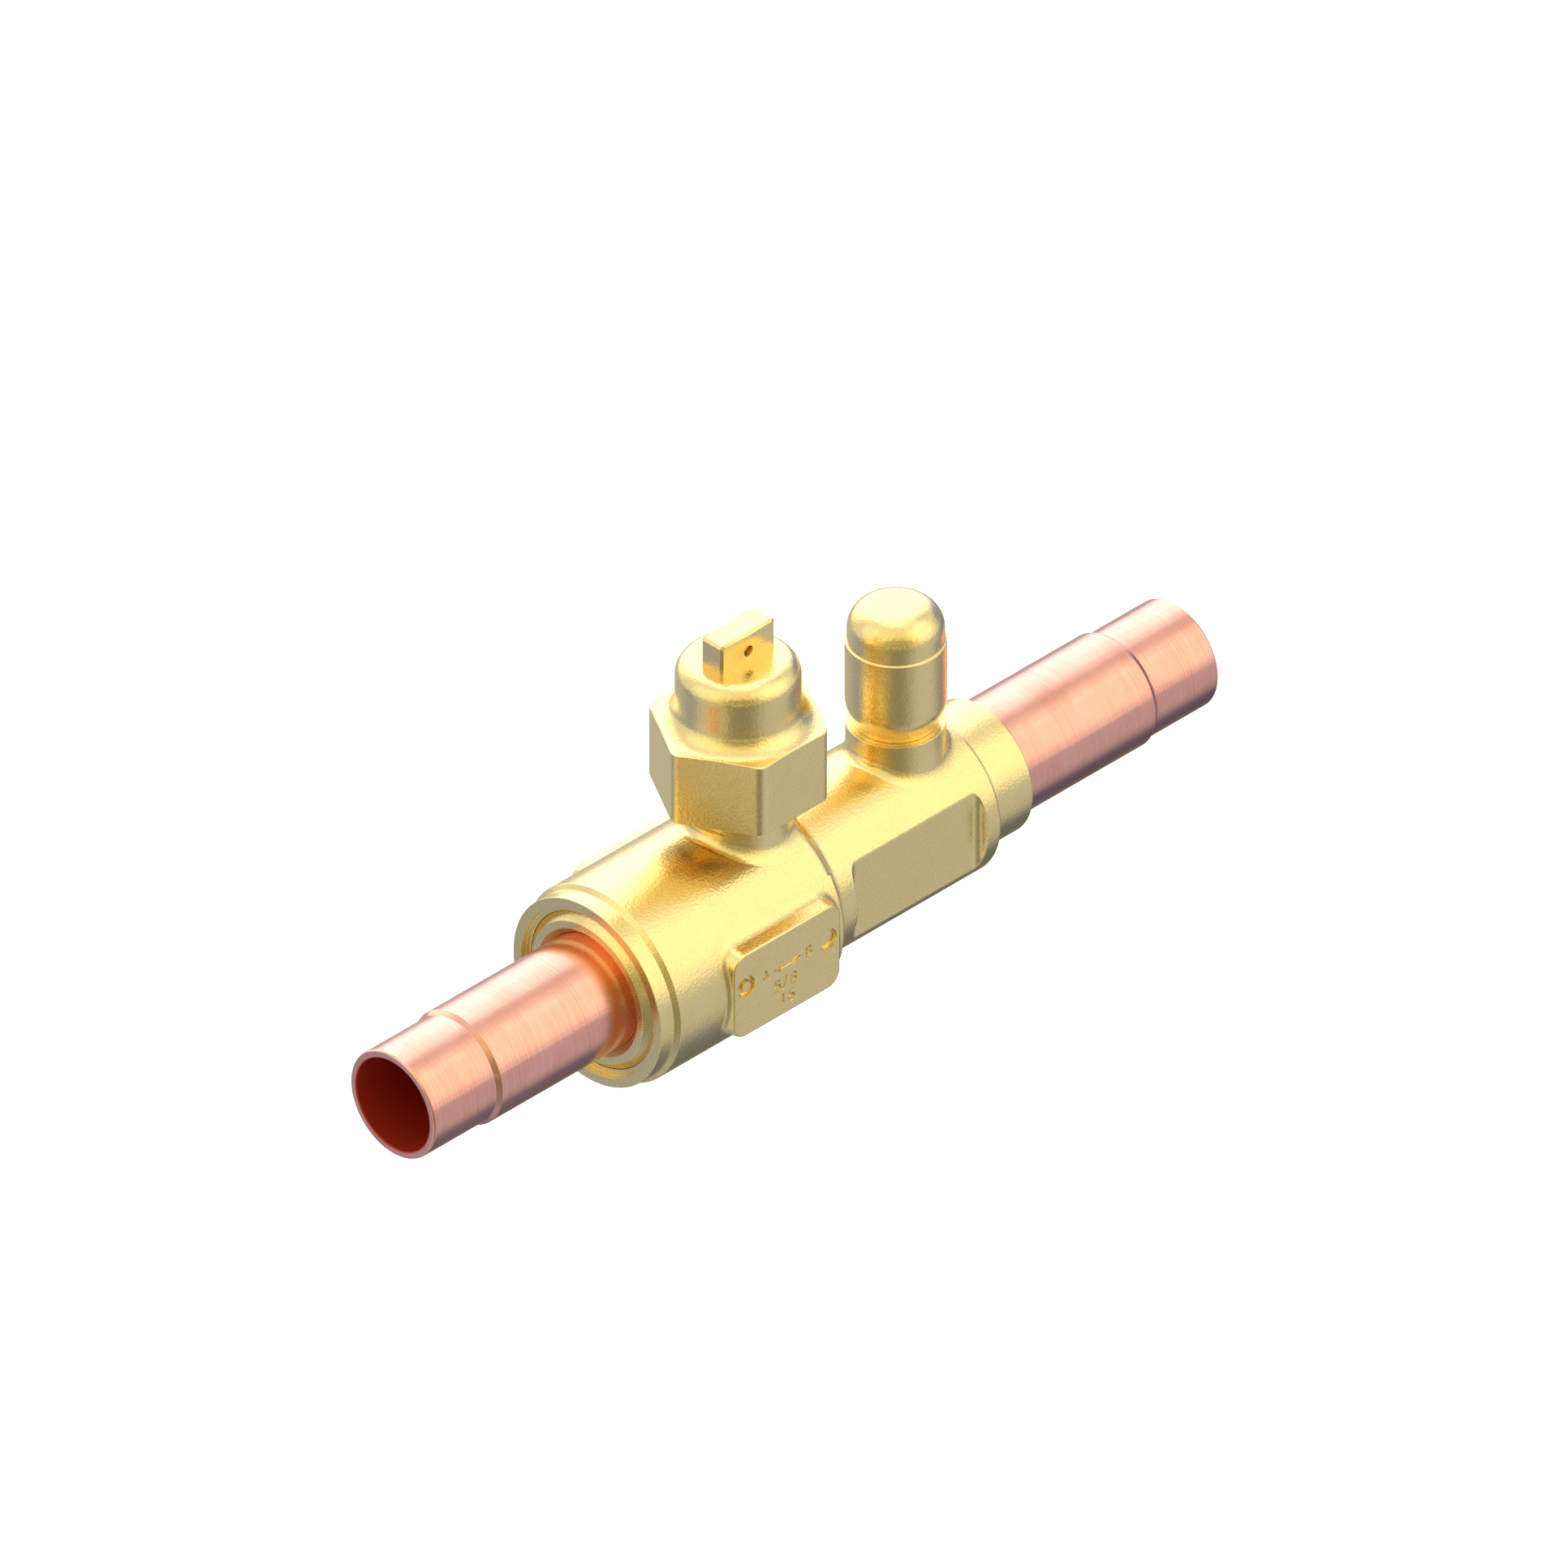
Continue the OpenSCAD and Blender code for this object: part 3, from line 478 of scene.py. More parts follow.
# Hard chrome on the ball: almost a clean mirror
PLATED_BALL = Finish("hard_chrome_plate", "DADCE0", "C6C9CF", rough=0.05, rough_more=0.05, cloud_mm=8.0,
                     grain_mm=0.3, relief_mm=0.0005, ripple_mm=5.0, ripple_relief_mm=0.001)
# Spring steel: drawn bright, slightly blued
SPRING_STEEL = Finish("bright_spring_steel", "B9BCC2", "9FA3AB", rough=0.24, rough_more=0.12, cloud_mm=3.0,
                      grain_mm=0.2, relief_mm=0.001, ripple_mm=2.0, ripple_relief_mm=0.001)
# Skived white fluoropolymer: waxy, with a dull sheen
SEAT_PLASTIC = Finish("skived_fluoropolymer", "F1F1EC", "E2E1D8", metallic=0.0, rough=0.38, rough_more=0.15,
                      cloud_mm=3.0, grain=Grain.ROUND_PIPE, grain_mm=0.3, relief_mm=0.002)
# Punched gasket sheet: cream, smooth and dull
GASKET_PLASTIC = Finish("gasket_sheet", "E6E2D0", "D6D0BA", metallic=0.0, rough=0.5, rough_more=0.15,
                        cloud_mm=2.5, grain_mm=0.25, relief_mm=0.003)
# Moulded nitrile: black with the fine matt skin of its mould
SEAL_RUBBER = Finish("moulded_nitrile", "1B1B1D", "121214", metallic=0.0, rough=0.45, rough_more=0.2,
                     cloud_mm=2.0, grain_mm=0.15, relief_mm=0.002)


# ---------------------------------------------------------------- the valve's pieces


@dataclass
class CopperEnd:
    """One copper tube end with its swaged solder socket.

    Attributes:
        name: CAD node that it replaces.
        mouth: Where the socket's mouth is.
        way: 1 if the tube runs towards +X from its mouth, -1 if towards -X.
        length: Length of the tube.
        slim_radius: Outside of the socket.
        slim_length: Where the swage starts on the outside.
        swage: Length of its slope.
        radius: Outside of the tube.
        socket_radius: Inside of the socket.
        socket_depth: Depth of the socket.
        bore_radius: Inside of the tube.
    """

    name: str
    mouth: float
    way: int
    length: float
    slim_radius: float = 9.225
    slim_length: float = 13.4
    swage: float = 0.9
    radius: float = 9.755
    socket_radius: float = 7.965
    socket_depth: float = 13.0
    bore_radius: float = 7.0

    def build(self) -> None:
        """Turns the tube's closed outline about the pipe axis, its lip rounded and its swage softened."""
        outline = rounded_outline([
            (0, self.slim_radius, 0.4), (self.slim_length, self.slim_radius, 0.06),
            (self.slim_length + self.swage, self.radius, 0.08), (self.length, self.radius, 0.1),
            (self.length, self.bore_radius, 0.1), (self.socket_depth, self.bore_radius, 0.3),
            (self.socket_depth, self.socket_radius, 0.2), (0, self.socket_radius, 0.25)], 8)
        ring = angles(144)
        points = around_x(self.mouth + self.way * outline[:, :1], outline[:, 1:], ring[None])
        make_piece(self.name + "_drawn", points, "valve", DRAWN_COPPER, [self.name])


@dataclass
class Barrel:
    """The forging's turned body without its pads and necks: collars, two barrels, flats and bores.

    Attributes:
        face: Inlet face.
        collar_radius: Outside of the low collar behind that face.
        collar_length: How far the low collar runs.
        front_radius: Outside of the front barrel.
        step: Where the front barrel ends.
        rear_radius: Outside of the rear barrel.
        rear_end: Where the rear barrel ends.
        outlet_face: Outlet face.
        outlet_collar_radius: Outside of the collar round the outlet tube.
        flat_y: Distance of a spanner flat from the pipe axis.
        flat_middle: Middle of the flats along the pipe.
        flat_half: Half the length of a flat, without its scooped ends.
        scoop: Radius of the scooped ends.
    """

    face: float = STEM_X - 32.93
    collar_radius: float = 16.1
    collar_length: float = 2.9
    front_radius: float = 16.875
    step: float = STEM_X + 5.2
    rear_radius: float = 13.75
    rear_end: float = STEM_X + 43.86
    outlet_face: float = STEM_X + 53.01
    outlet_collar_radius: float = 11.4
    flat_y: float = 11.7
    flat_middle: float = STEM_X + 26.49
    flat_half: float = 12.65
    scoop: float = 1.45

    def outer(self, steps: int = 10) -> Array:
        """Draws the outside from the inlet face to the outlet face.

        The step between the barrels is an arc of 2.2 that runs straight into one of 2.3: both turn by the angle
        whose cosine is 1 minus the drop over the sum of the radii, and their corners lie on their common tangent.

        Args:
            steps: Spans in each arc.

        Returns:
            Points of (distance, radius).
        """
        drop, a, b = self.front_radius - self.rear_radius, 2.2, 2.3
        turn = math.acos(1 - drop / (a + b))
        reach = (a + b) * math.tan(turn / 2)
        top = self.step + a * math.tan(turn / 2)
        foot = top + reach * math.cos(turn)
        fillet, edge = self.rear_radius - self.outlet_collar_radius - 0.05, 0.7
        collar_end = self.face + self.collar_length
        return rounded_outline([
            (self.face, 14.6, PLAIN), (self.face, self.collar_radius, 0.12), (collar_end, self.collar_radius, 0.12),
            (collar_end + 0.7, self.front_radius, 0.2), (top, self.front_radius, a),
            (foot, self.rear_radius, b), (self.rear_end, self.rear_radius, edge),
            (self.rear_end + 0.02, self.outlet_collar_radius, fillet - edge),
            (self.outlet_face, self.outlet_collar_radius, 0.35), (self.outlet_face, 10.4, PLAIN)], steps, False)

    def bore(self) -> Array:
        """Draws the inside from the outlet face back to the inlet face: socket, ball chamber, thread and mouth.

        Returns:
            Points of (distance, radius).
        """
        s = STEM_X
        return rounded_outline([
            (self.outlet_face, 10.3, PLAIN), (self.outlet_face, 9.775, 0.2), (s + 42.0, 9.775, 0.1),
            (s + 42.0, 7.0, 0.1), (s + 12.03, 7.0, 0.1), (s + 12.03, 10.9, 0.1), (s + 4.63, 10.9, 0.1),
            (s + 4.63, 12.2, 0.1), (s - 8.03, 12.2, 0.1), (s - 8.03, 12.85, 0.05), (s - 20.0, 12.85, 0.1),
            (s - 20.0, 13.45, 0.1), (s - 31.83, 13.45, 0.1), (s - 31.83, 14.44, 0.1),
            (self.face, 14.44, 0.08), (self.face, 14.55, PLAIN)], 4, False)

    def surface_radius(self, x: Array) -> Array:
        """Reads the outside's radius off its outline, without the flats.

        Args:
            x: Distances along the pipe.

        Returns:
            The radius at each.
        """
        outline = self.outer()
        x_line = np.maximum.accumulate(outline[:, 0] + np.arange(len(outline)) * 1e-9)
        return np.interp(x, x_line, outline[:, 1])

    def distance(self, p: Array) -> Array:
        """Measures the distance to the turned outside: in the plane of x and radius, to the outline's nearest span.

        Args:
            p: Points, last axis x, y, z.

        Returns:
            The distance of each, negative inside.
        """
        outline = self.outer(6)
        outline = outline[(outline[:, 0] > self.face + 3) & (outline[:, 0] < self.outlet_face)]
        x, radius = p[..., 0], np.hypot(p[..., 1], p[..., 2])
        a, b = outline[:-1], outline[1:]
        span = b - a
        q = np.stack([x, radius], -1)[..., None, :] - a
        t = np.clip((q * span).sum(-1) / (span * span).sum(-1), 0, 1)
        away = np.linalg.norm(q - t[..., None] * span, axis=-1).min(-1)
        return np.where(radius < self.surface_radius(x), -away, away)

    def flat_solid(self, p: Array) -> Array:
        """Measures the distance to the rear barrel between its flats: the cylinder less two round-ended troughs.

        Args:
            p: Points, last axis x, y, z.

        Returns:
            The distance of each, negative inside.
        """
        trough = box_distance(p[..., 0] - self.flat_middle, np.maximum(self.flat_y + 30 - np.abs(p[..., 1]), 0),
                              self.flat_half + self.scoop, 30, self.scoop)
        return round_meet(np.hypot(p[..., 1], p[..., 2]) - self.rear_radius, -trough, 0.18)

    def build(self) -> None:
        """Turns the outline, then brings the rows that cross the flats in to them along their radii."""
        beyond = self.flat_half + 2.6  # half the stretch of rows that the flats and their scoops lie in
        low, high = self.flat_middle - beyond, self.flat_middle + beyond
        scoops = [(low + 1.6, 0.9), (high - 1.6, 0.9)]  # rows crowd at the scooped ends
        stations = clustered(low, high, 96, scoops, 14)
        outer = with_stations(self.outer(), low, high, stations)
        outline = np.concatenate([outer, self.bore()])
        edge = math.acos(self.flat_y / self.rear_radius)
        edges = [(math.pi / 2 + k * math.pi + side * edge, 0.05) for k in (0, 1) for side in (-1, 1)]
        ring = clustered(0, 2 * math.pi, 241, edges, 9)[:-1]  # columns crowd at the flats' long edges
        points = around_x(outline[:, :1], outline[:, 1:], ring[None])
        rows = np.isin(outline[:, 0], stations) & (outline[:, 1] == self.rear_radius)
        spoke = np.stack([np.zeros_like(ring), np.sin(ring), np.cos(ring)], -1)
        start = points[rows] + spoke * 0.5
        points[rows] = march(self.flat_solid, start, np.broadcast_to(-spoke, start.shape), 6.0)
        make_piece("forged_barrel", points, "valve", FORGED_BRASS, ["valve_body"])


# Strokes of the plain characters that the pad carries, as (across, up) in heights of a character
CHARACTERS: dict[str, list[list[tuple[float, float]]]] = {
    "A": [[(0, 0), (0.35, 1), (0.7, 0)], [(0.13, 0.36), (0.57, 0.36)]],
    "B": [[(0, 0), (0, 1), (0.42, 1), (0.56, 0.9), (0.56, 0.64), (0.42, 0.53), (0, 0.53)],
          [(0.42, 0.53), (0.6, 0.42), (0.6, 0.12), (0.44, 0), (0, 0)]],
    "5": [[(0.58, 1), (0.06, 1), (0, 0.56), (0.36, 0.62), (0.58, 0.48), (0.6, 0.2), (0.42, 0), (0.12, 0), (0, 0.14)]],
    "8": [[(0.3, 0.53), (0.06, 0.64), (0.06, 0.88), (0.2, 1), (0.42, 1), (0.56, 0.88), (0.56, 0.64), (0.3, 0.53),
           (0, 0.4), (0, 0.14), (0.16, 0), (0.46, 0), (0.62, 0.14), (0.62, 0.4), (0.3, 0.53)]],
    "/": [[(0, -0.08), (0.42, 1.08)]],
    "1": [[(0.05, 0.78), (0.3, 1), (0.3, 0)]],
    "6": [[(0.5, 0.98), (0.2, 0.86), (0.02, 0.5), (0, 0.2), (0.16, 0), (0.44, 0), (0.6, 0.18), (0.6, 0.38),
           (0.44, 0.54), (0.16, 0.54), (0.02, 0.36)]],
}


@dataclass(frozen=True)
class Marking:
    """A few characters engraved in a row.

    Attributes:
        text: The characters.
        x: Left end, from the middle of the pad.
        z: Foot, from the row of the arrow.
        height: Height of a character.
        half: Half the width of a stroke.
        depth: Depth of a stroke.
    """

    text: str
    x: float
    z: float
    height: float
    half: float = 0.1
    depth: float = 0.34

    def strokes(self) -> list[Array]:
        """Places the strokes of each character.

        Returns:
            Joined points of (x, z) for each stroke.
        """
        advance = 0.92 * self.height
        return [np.array(line) * self.height + (self.x + place * advance, self.z)
                for place, character in enumerate(self.text) for line in CHARACTERS[character]]


@dataclass
class Pad:
    """One raised pad of the front barrel, drafted, with a soft foot and the marks of the -Y one.

    Attributes:
        side: -1 for the marked pad that faces -Y, 1 for the plain one.
        barrel: What it stands on.
        middle: Its middle along the pipe.
        half_length: Half its length at the face.
        half_height: Half its height at the face.
        corner: Radius of its corners.
        face: Distance of its face from the pipe axis.
        draft: How much it widens for each millimetre below its face.
        foot: Fillet where it meets the barrel.
        brow: Rounding of its face's edge.
        seam: Where the two parts of the marked pad meet, in the plain stretch between a letter and the arrow.
        row_z: Height of the row with the arrow.
        ring_x: Distance of the round marks from the middle.
        ring_radius: Outside of the round marks.
        wall: Width over which the wall of a mark falls.
        markings: Plain letters at the arrow's ends, and the pipe's size in two units.
    """

    side: int
    barrel: Barrel
    middle: float = STEM_X - 7.12
    half_length: float = 11.525
    half_height: float = 7.625
    corner: float = 2.6
    face: float = 17.845
    draft: float = math.tan(math.radians(11))
    foot: float = 0.9
    brow: float = 0.28
    seam: float = -3.5
    row_z: float = 1.6
    ring_x: float = 8.9
    ring_radius: float = 1.8
    wall: float = 0.08
    markings: tuple[Marking, ...] = (Marking("A", -5.2, -0.85, 1.7), Marking("B", 4.2, -0.85, 1.7),
                                     Marking("5/8", -2.6, -4.3, 1.9), Marking("16", -1.4, -7.2, 1.9))

    def engraving(self, x: Array, z: Array) -> Array:
        """Works out the depth of the marks at points of the face.

        Each mark is a distance in the plane of the face, and its depth falls from full to none across its wall.
        The arrow is a bar joined to two triangles, one at each end.

        Args:
            x: Distance along the pipe from the pad's middle.
            z: Height above the row of marks.

        Returns:
            The depth at each point.
        """
        def sunk(distance: Array, depth: float) -> Array:
            """Depth under a mark from the distance to its edge, negative inside."""
            return depth * np.clip(0.5 - distance / self.wall, 0, 1)

        left, right = np.hypot(x + self.ring_x, z), np.hypot(x - self.ring_x, z)
        depth = np.maximum(sunk(np.maximum(left - self.ring_radius, 1.0 - left), 0.7),
                           sunk(right - self.ring_radius, 0.7))
        a, tip, neck = np.abs(x), 3.0, 1.2  # the arrow's heads reach from neck to tip
        head = np.maximum(a - tip, np.abs(z) * 0.894 + (a - tip) * 0.447)  # sides that fall by half
        arrow = np.minimum(np.maximum(head, neck - a), np.maximum(a - neck - 0.2, np.abs(z) - 0.3))
        depth = np.maximum(depth, sunk(arrow, 0.35))
        for marking in self.markings:
            for line in marking.strokes():
                for (ax, az), (bx, bz) in zip(line[:-1], line[1:]):
                    dx, dz = bx - ax, bz - az
                    t = np.clip(((x - ax) * dx + (z - az) * dz) / (dx * dx + dz * dz), 0, 1)
                    away = np.hypot(x - ax - t * dx, z - az - t * dz) - marking.half
                    depth = np.maximum(depth, sunk(away, marking.depth))
        return depth

    def solid(self, p: Array, marks: Array) -> Array:
        """Measures the distance to the pad with its marks, joined to the front barrel.

        The pad is a drafted block whose outline grows by the draft below its face, met with the face plane and
        joined to the barrel with a fillet.

        Args:
            p: Points, last axis x, y, z.
            marks: Depth of the engraving over each point.

        Returns:
            The distance of each, negative inside.
        """
        down = self.face - np.abs(p[..., 1])
        wall = (box_distance(p[..., 0] - self.middle, p[..., 2], self.half_length, self.half_height,
                             self.corner) - down * self.draft) * math.cos(math.atan(self.draft))
        block = round_meet(wall, marks - down, self.brow)
        body = np.hypot(p[..., 1], p[..., 2]) - self.barrel.front_radius + SEAM
        return round_union(block, body, self.foot)

    def build(self) -> None:
        """Finds the pad's skin along lines parallel to Y, on a grid that crowds at its edges.

        A last row on each side dives into the barrel and closes the piece. The marked pad is made in two parts
        that meet at its seam, so that its fine marks get a fine and even grid.
        """
        marked = self.side < 0
        size, tight = ((510, 300), (1, 2)) if marked else ((110, 110), (9, 10))
        xs = clustered(-self.half_length - 1.7, self.half_length + 1.7, size[0],
                       [(-self.half_length - 0.2, 0.7), (self.half_length + 0.2, 0.7)], tight[0])
        zs = clustered(-self.half_height - 1.9, self.half_height + 1.9, size[1],
                       [(-self.half_height - 0.25, 0.6), (self.half_height + 0.25, 0.6)], tight[1])
        x, z = np.meshgrid(xs, zs, indexing="ij")
        marks = self.engraving(x, z - self.row_z) if marked else np.zeros_like(x)
        open_y, buried_y = self.side * 19.0, self.side * 12.6  # clear of the face, and well under the barrel's skin
        start = np.stack([x + self.middle, np.full_like(x, open_y), z], -1)
        way = np.broadcast_to([0.0, -self.side, 0.0], start.shape)
        skin = march(lambda p: self.solid(p, marks), start, way, 9.0)
        sunk = skin.copy()
        sunk[..., 1] = buried_y
        seam = int(np.searchsorted(xs, self.seam))
        halves = (("forged_pad_near_inlet", slice(0, seam + 1)), ("forged_pad_near_outlet", slice(seam, None)))
        for name, rows in halves if marked else (("forged_pad_far", slice(None)),):
            make_sheet_block(name, skin[rows], sunk[rows], "valve", FORGED_BRASS)


def make_sheet_block(name: str, skin: Array, back: Array, body: str, finish: Finish) -> None:
    """Makes a closed block from a grid of front points and the border of a grid of back points.

    Each ring of the block is a front row with the two end points of its back row. The first and the last back
    row, each closed by a fan round its middle, are the block's ends.

    Args:
        name: Name of the piece.
        skin: Front points, shape (rows, columns, 3).
        back: Back points of the same shape.
        body: Body that it rides on.
        finish: What its surface is.
    """
    loop = np.concatenate([skin, back[:, -1:], back[:, :1]], 1)
    ends = [np.concatenate([back[k:k + 1, :], back[k:k + 1, -1:], back[k:k + 1, :1]], 1) for k in (0, -1)]
    rings = np.concatenate([ends[0], loop, ends[1]])
    middle = rings.mean(1, keepdims=True)[[0, -1]]
    cap = [np.broadcast_to(m, (1, rings.shape[1], 3)) for m in middle]
    make_piece(name, np.concatenate([cap[0], rings, cap[1]]), body, finish, poles=True)


@dataclass
class Neck:
    """A round neck that grows out of the barrel with a fillet.

    Attributes:
        barrel: What it stands on.
        x: Its axis.
        radius: Radius of its plain foot.
        fillet: Radius of the fillet at its foot.
    """

    barrel: Barrel
    x: float
    radius: float
    fillet: float

    def solid(self, p: Array) -> Array:
        """Distance to the plain neck joined to the barrel with a fillet."""
        return round_union(np.hypot(p[..., 0] - self.x, p[..., 1]) - self.radius,
                           self.barrel.distance(p) + SEAM, self.fillet)

    def foot(self, ring: Array, spans: int = 18) -> Array:
        """Finds the rows of the fillet, from the barrel up to the neck's wall.

        Rays start on a ring in the open air round the foot, at a height that follows the barrel, and fan out from
        straight down to straight in at the neck.

        Args:
            ring: Angles round the neck.
            spans: Rows in the fan.

        Returns:
            The rows of points.
        """
        clear, lift = 1.15, 1.7  # how far out and up the rays start, in fillets
        out = self.radius + self.fillet * clear
        x, y = self.x + out * np.cos(ring), out * np.sin(ring)
        reach = self.barrel.surface_radius(x)
        height = np.sqrt(np.maximum(reach ** 2 - y ** 2, 1)) + self.fillet * lift
        fan = np.radians(np.linspace(92, 0, spans + 1))[:, None]
        start = np.broadcast_to(np.stack([x, y, height], -1), (spans + 1, len(ring), 3))
        way = np.stack([-np.cos(fan) * np.cos(ring), -np.cos(fan) * np.sin(ring),
                        -np.sin(fan) * np.ones_like(ring)], -1)
        return march(self.solid, start, way, 9.0)

    def buried(self, skirt: Array, radius: float, depth: float) -> Array:
        """Makes the two rows that close the piece inside the barrel: under the skirt, and at the bore.

        Args:
            skirt: Lowest row of the fillet.
            radius: Radius of the bore.
            depth: Height of the bore's lower end.

        Returns:
            The two rows of points.
        """
        under = skirt - np.array([0, 0, 0.7])  # well under the barrel's skin
        angle = np.arctan2(skirt[:, 1], skirt[:, 0] - self.x)
        return np.stack([around_z(self.x, radius, angle, depth), under])


@dataclass
class StemNeck(Neck):
    """The stem's neck: thread for the cap, chamfered top, and the recess that the stop pin turns in.

    Attributes:
        top: Upper face.
        chamfer: Size of the chamfer round it.
        thread_radius: Crest of the thread.
        thread_low: Lower end of the thread.
        thread: Depth of the thread.
        bore: Radius of the stem's bore.
        recess: Radius of the recess.
        recess_floor: Floor of the recess.
        lug_gap: Distance of the lugs from the two planes that halve the neck.
    """

    top: float = 31.5
    chamfer: float = 0.55
    thread_radius: float = 8.95
    thread_low: float = 24.3
    thread: float = 0.8
    bore: float = 6.05
    recess: float = 7.3
    recess_floor: float = 29.2
    lug_gap: float = 1.3

    def build(self) -> None:
        """Joins the fillet's rows to the turned outline of the neck, cuts the thread and leaves the two lugs.

        The recess has its wide radius where the stop pin sweeps, and the bore's radius in the two quarters that
        the lugs fill.
        """
        lug_edge = math.asin(self.lug_gap / self.recess)
        knots = [(k * math.pi / 2 + s * lug_edge, 0.03) for k in range(5) for s in (-1, 1)]
        ring = clustered(0, 2 * math.pi, 161, [(a, h) for a, h in knots if 0 <= a <= 2 * math.pi], 5)[:-1]
        outline = rounded_outline([
            (18.9, self.radius, PLAIN), (23.6, self.radius, 0.4), (self.thread_low, self.thread_radius, 0.1),
            (self.top - self.chamfer, self.thread_radius, 0.1), (self.top, self.thread_radius - self.chamfer, 0.1),
            (self.top, self.recess, 0.12), (self.recess_floor, self.recess, 0.1),
            (self.recess_floor, self.bore, 0.1), (13.0, self.bore, PLAIN)], 4, False)
        stations = np.linspace(self.thread_low + 0.12, self.top - 0.65, 76)
        outline = with_stations(outline, self.thread_low + 0.2, self.top - 0.8, stations)
        height, radius = outline[:, :1], np.repeat(outline[:, 1:], len(ring), 1)
        outside = radius > self.thread_radius - 0.01
        radius = radius - np.where(outside, thread_depth(ring[None], height, self.thread_low, self.top - 0.5,
                                                         CAP_PITCH, self.thread), 0)
        quarter = (ring % math.pi > lug_edge) & (ring % math.pi < math.pi / 2 - lug_edge)
        inside = (radius <= self.recess + 0.2) & (height > self.recess_floor - 0.2)
        radius = np.where(quarter[None] & inside & (height < self.top + 1), np.minimum(radius, self.bore), radius)
        rows = around_z(self.x, radius, ring[None], height)
        foot = self.foot(ring)
        points = np.concatenate([self.buried(foot[0], self.bore, 11.6), foot, rows])
        make_piece("forged_stem_neck", points, "valve", FORGED_BRASS)


@dataclass
class ServiceBoss(Neck):
    """The low boss that the service fitting is brazed into.

    Attributes:
        top: Upper face.
        hole: Radius of the hole for the fitting.
    """

    top: float = 18.05
    hole: float = 4.02

    def build(self) -> None:
        """Joins the fillet's rows to the boss's turned outline."""
        ring = angles(128)
        outline = rounded_outline([(16.6, self.radius, PLAIN), (self.top, self.radius, 0.08),
                                   (self.top, self.hole, 0.1), (11.25, self.hole, PLAIN)], 5, False)
        rows = around_z(self.x, outline[:, 1:], ring[None], outline[:, :1])
        foot = self.foot(ring)
        points = np.concatenate([self.buried(foot[0], self.hole, 9.0), foot, rows])
        make_piece("forged_service_boss", points, "valve", FORGED_BRASS)


@dataclass
class Retainer:
    """The screwed ring that holds the inlet seat and carries the inlet tube.

    Attributes:
        face: Its outer face, flush with the body's.
    """

    face: float = STEM_X - 32.93

    def build(self) -> None:
        """Turns the ring's outline about the pipe axis."""
        s, f = STEM_X, self.face
        outline = rounded_outline([
            (f, 10.9, 0.08), (f, 12.15, 0.12), (f + 1.25, 13.4, 0.15), (s - 20.0, 13.4, 0.1),
            (s - 20.0, 12.8, 0.1), (s - 17.7, 12.8, 0.1), (s - 17.7, 11.45, 0.1), (s - 15.6, 11.45, 0.1),
            (s - 15.6, 12.8, 0.1), (s - 8.08, 12.8, 0.2), (s - 8.08, 10.9, 0.1), (s - 13.23, 10.9, 0.1),
            (s - 13.23, 7.0, 0.1), (s - 21.93, 7.0, 0.1), (s - 21.93, 9.775, 0.1), (f + 1.15, 9.775, 0.1)], 5)
        ring = angles(144)
        points = around_x(outline[:, :1], outline[:, 1:], ring[None])
        make_piece("turned_seat_retainer", points, "valve", FORGED_BRASS, ["seat_retainer"])


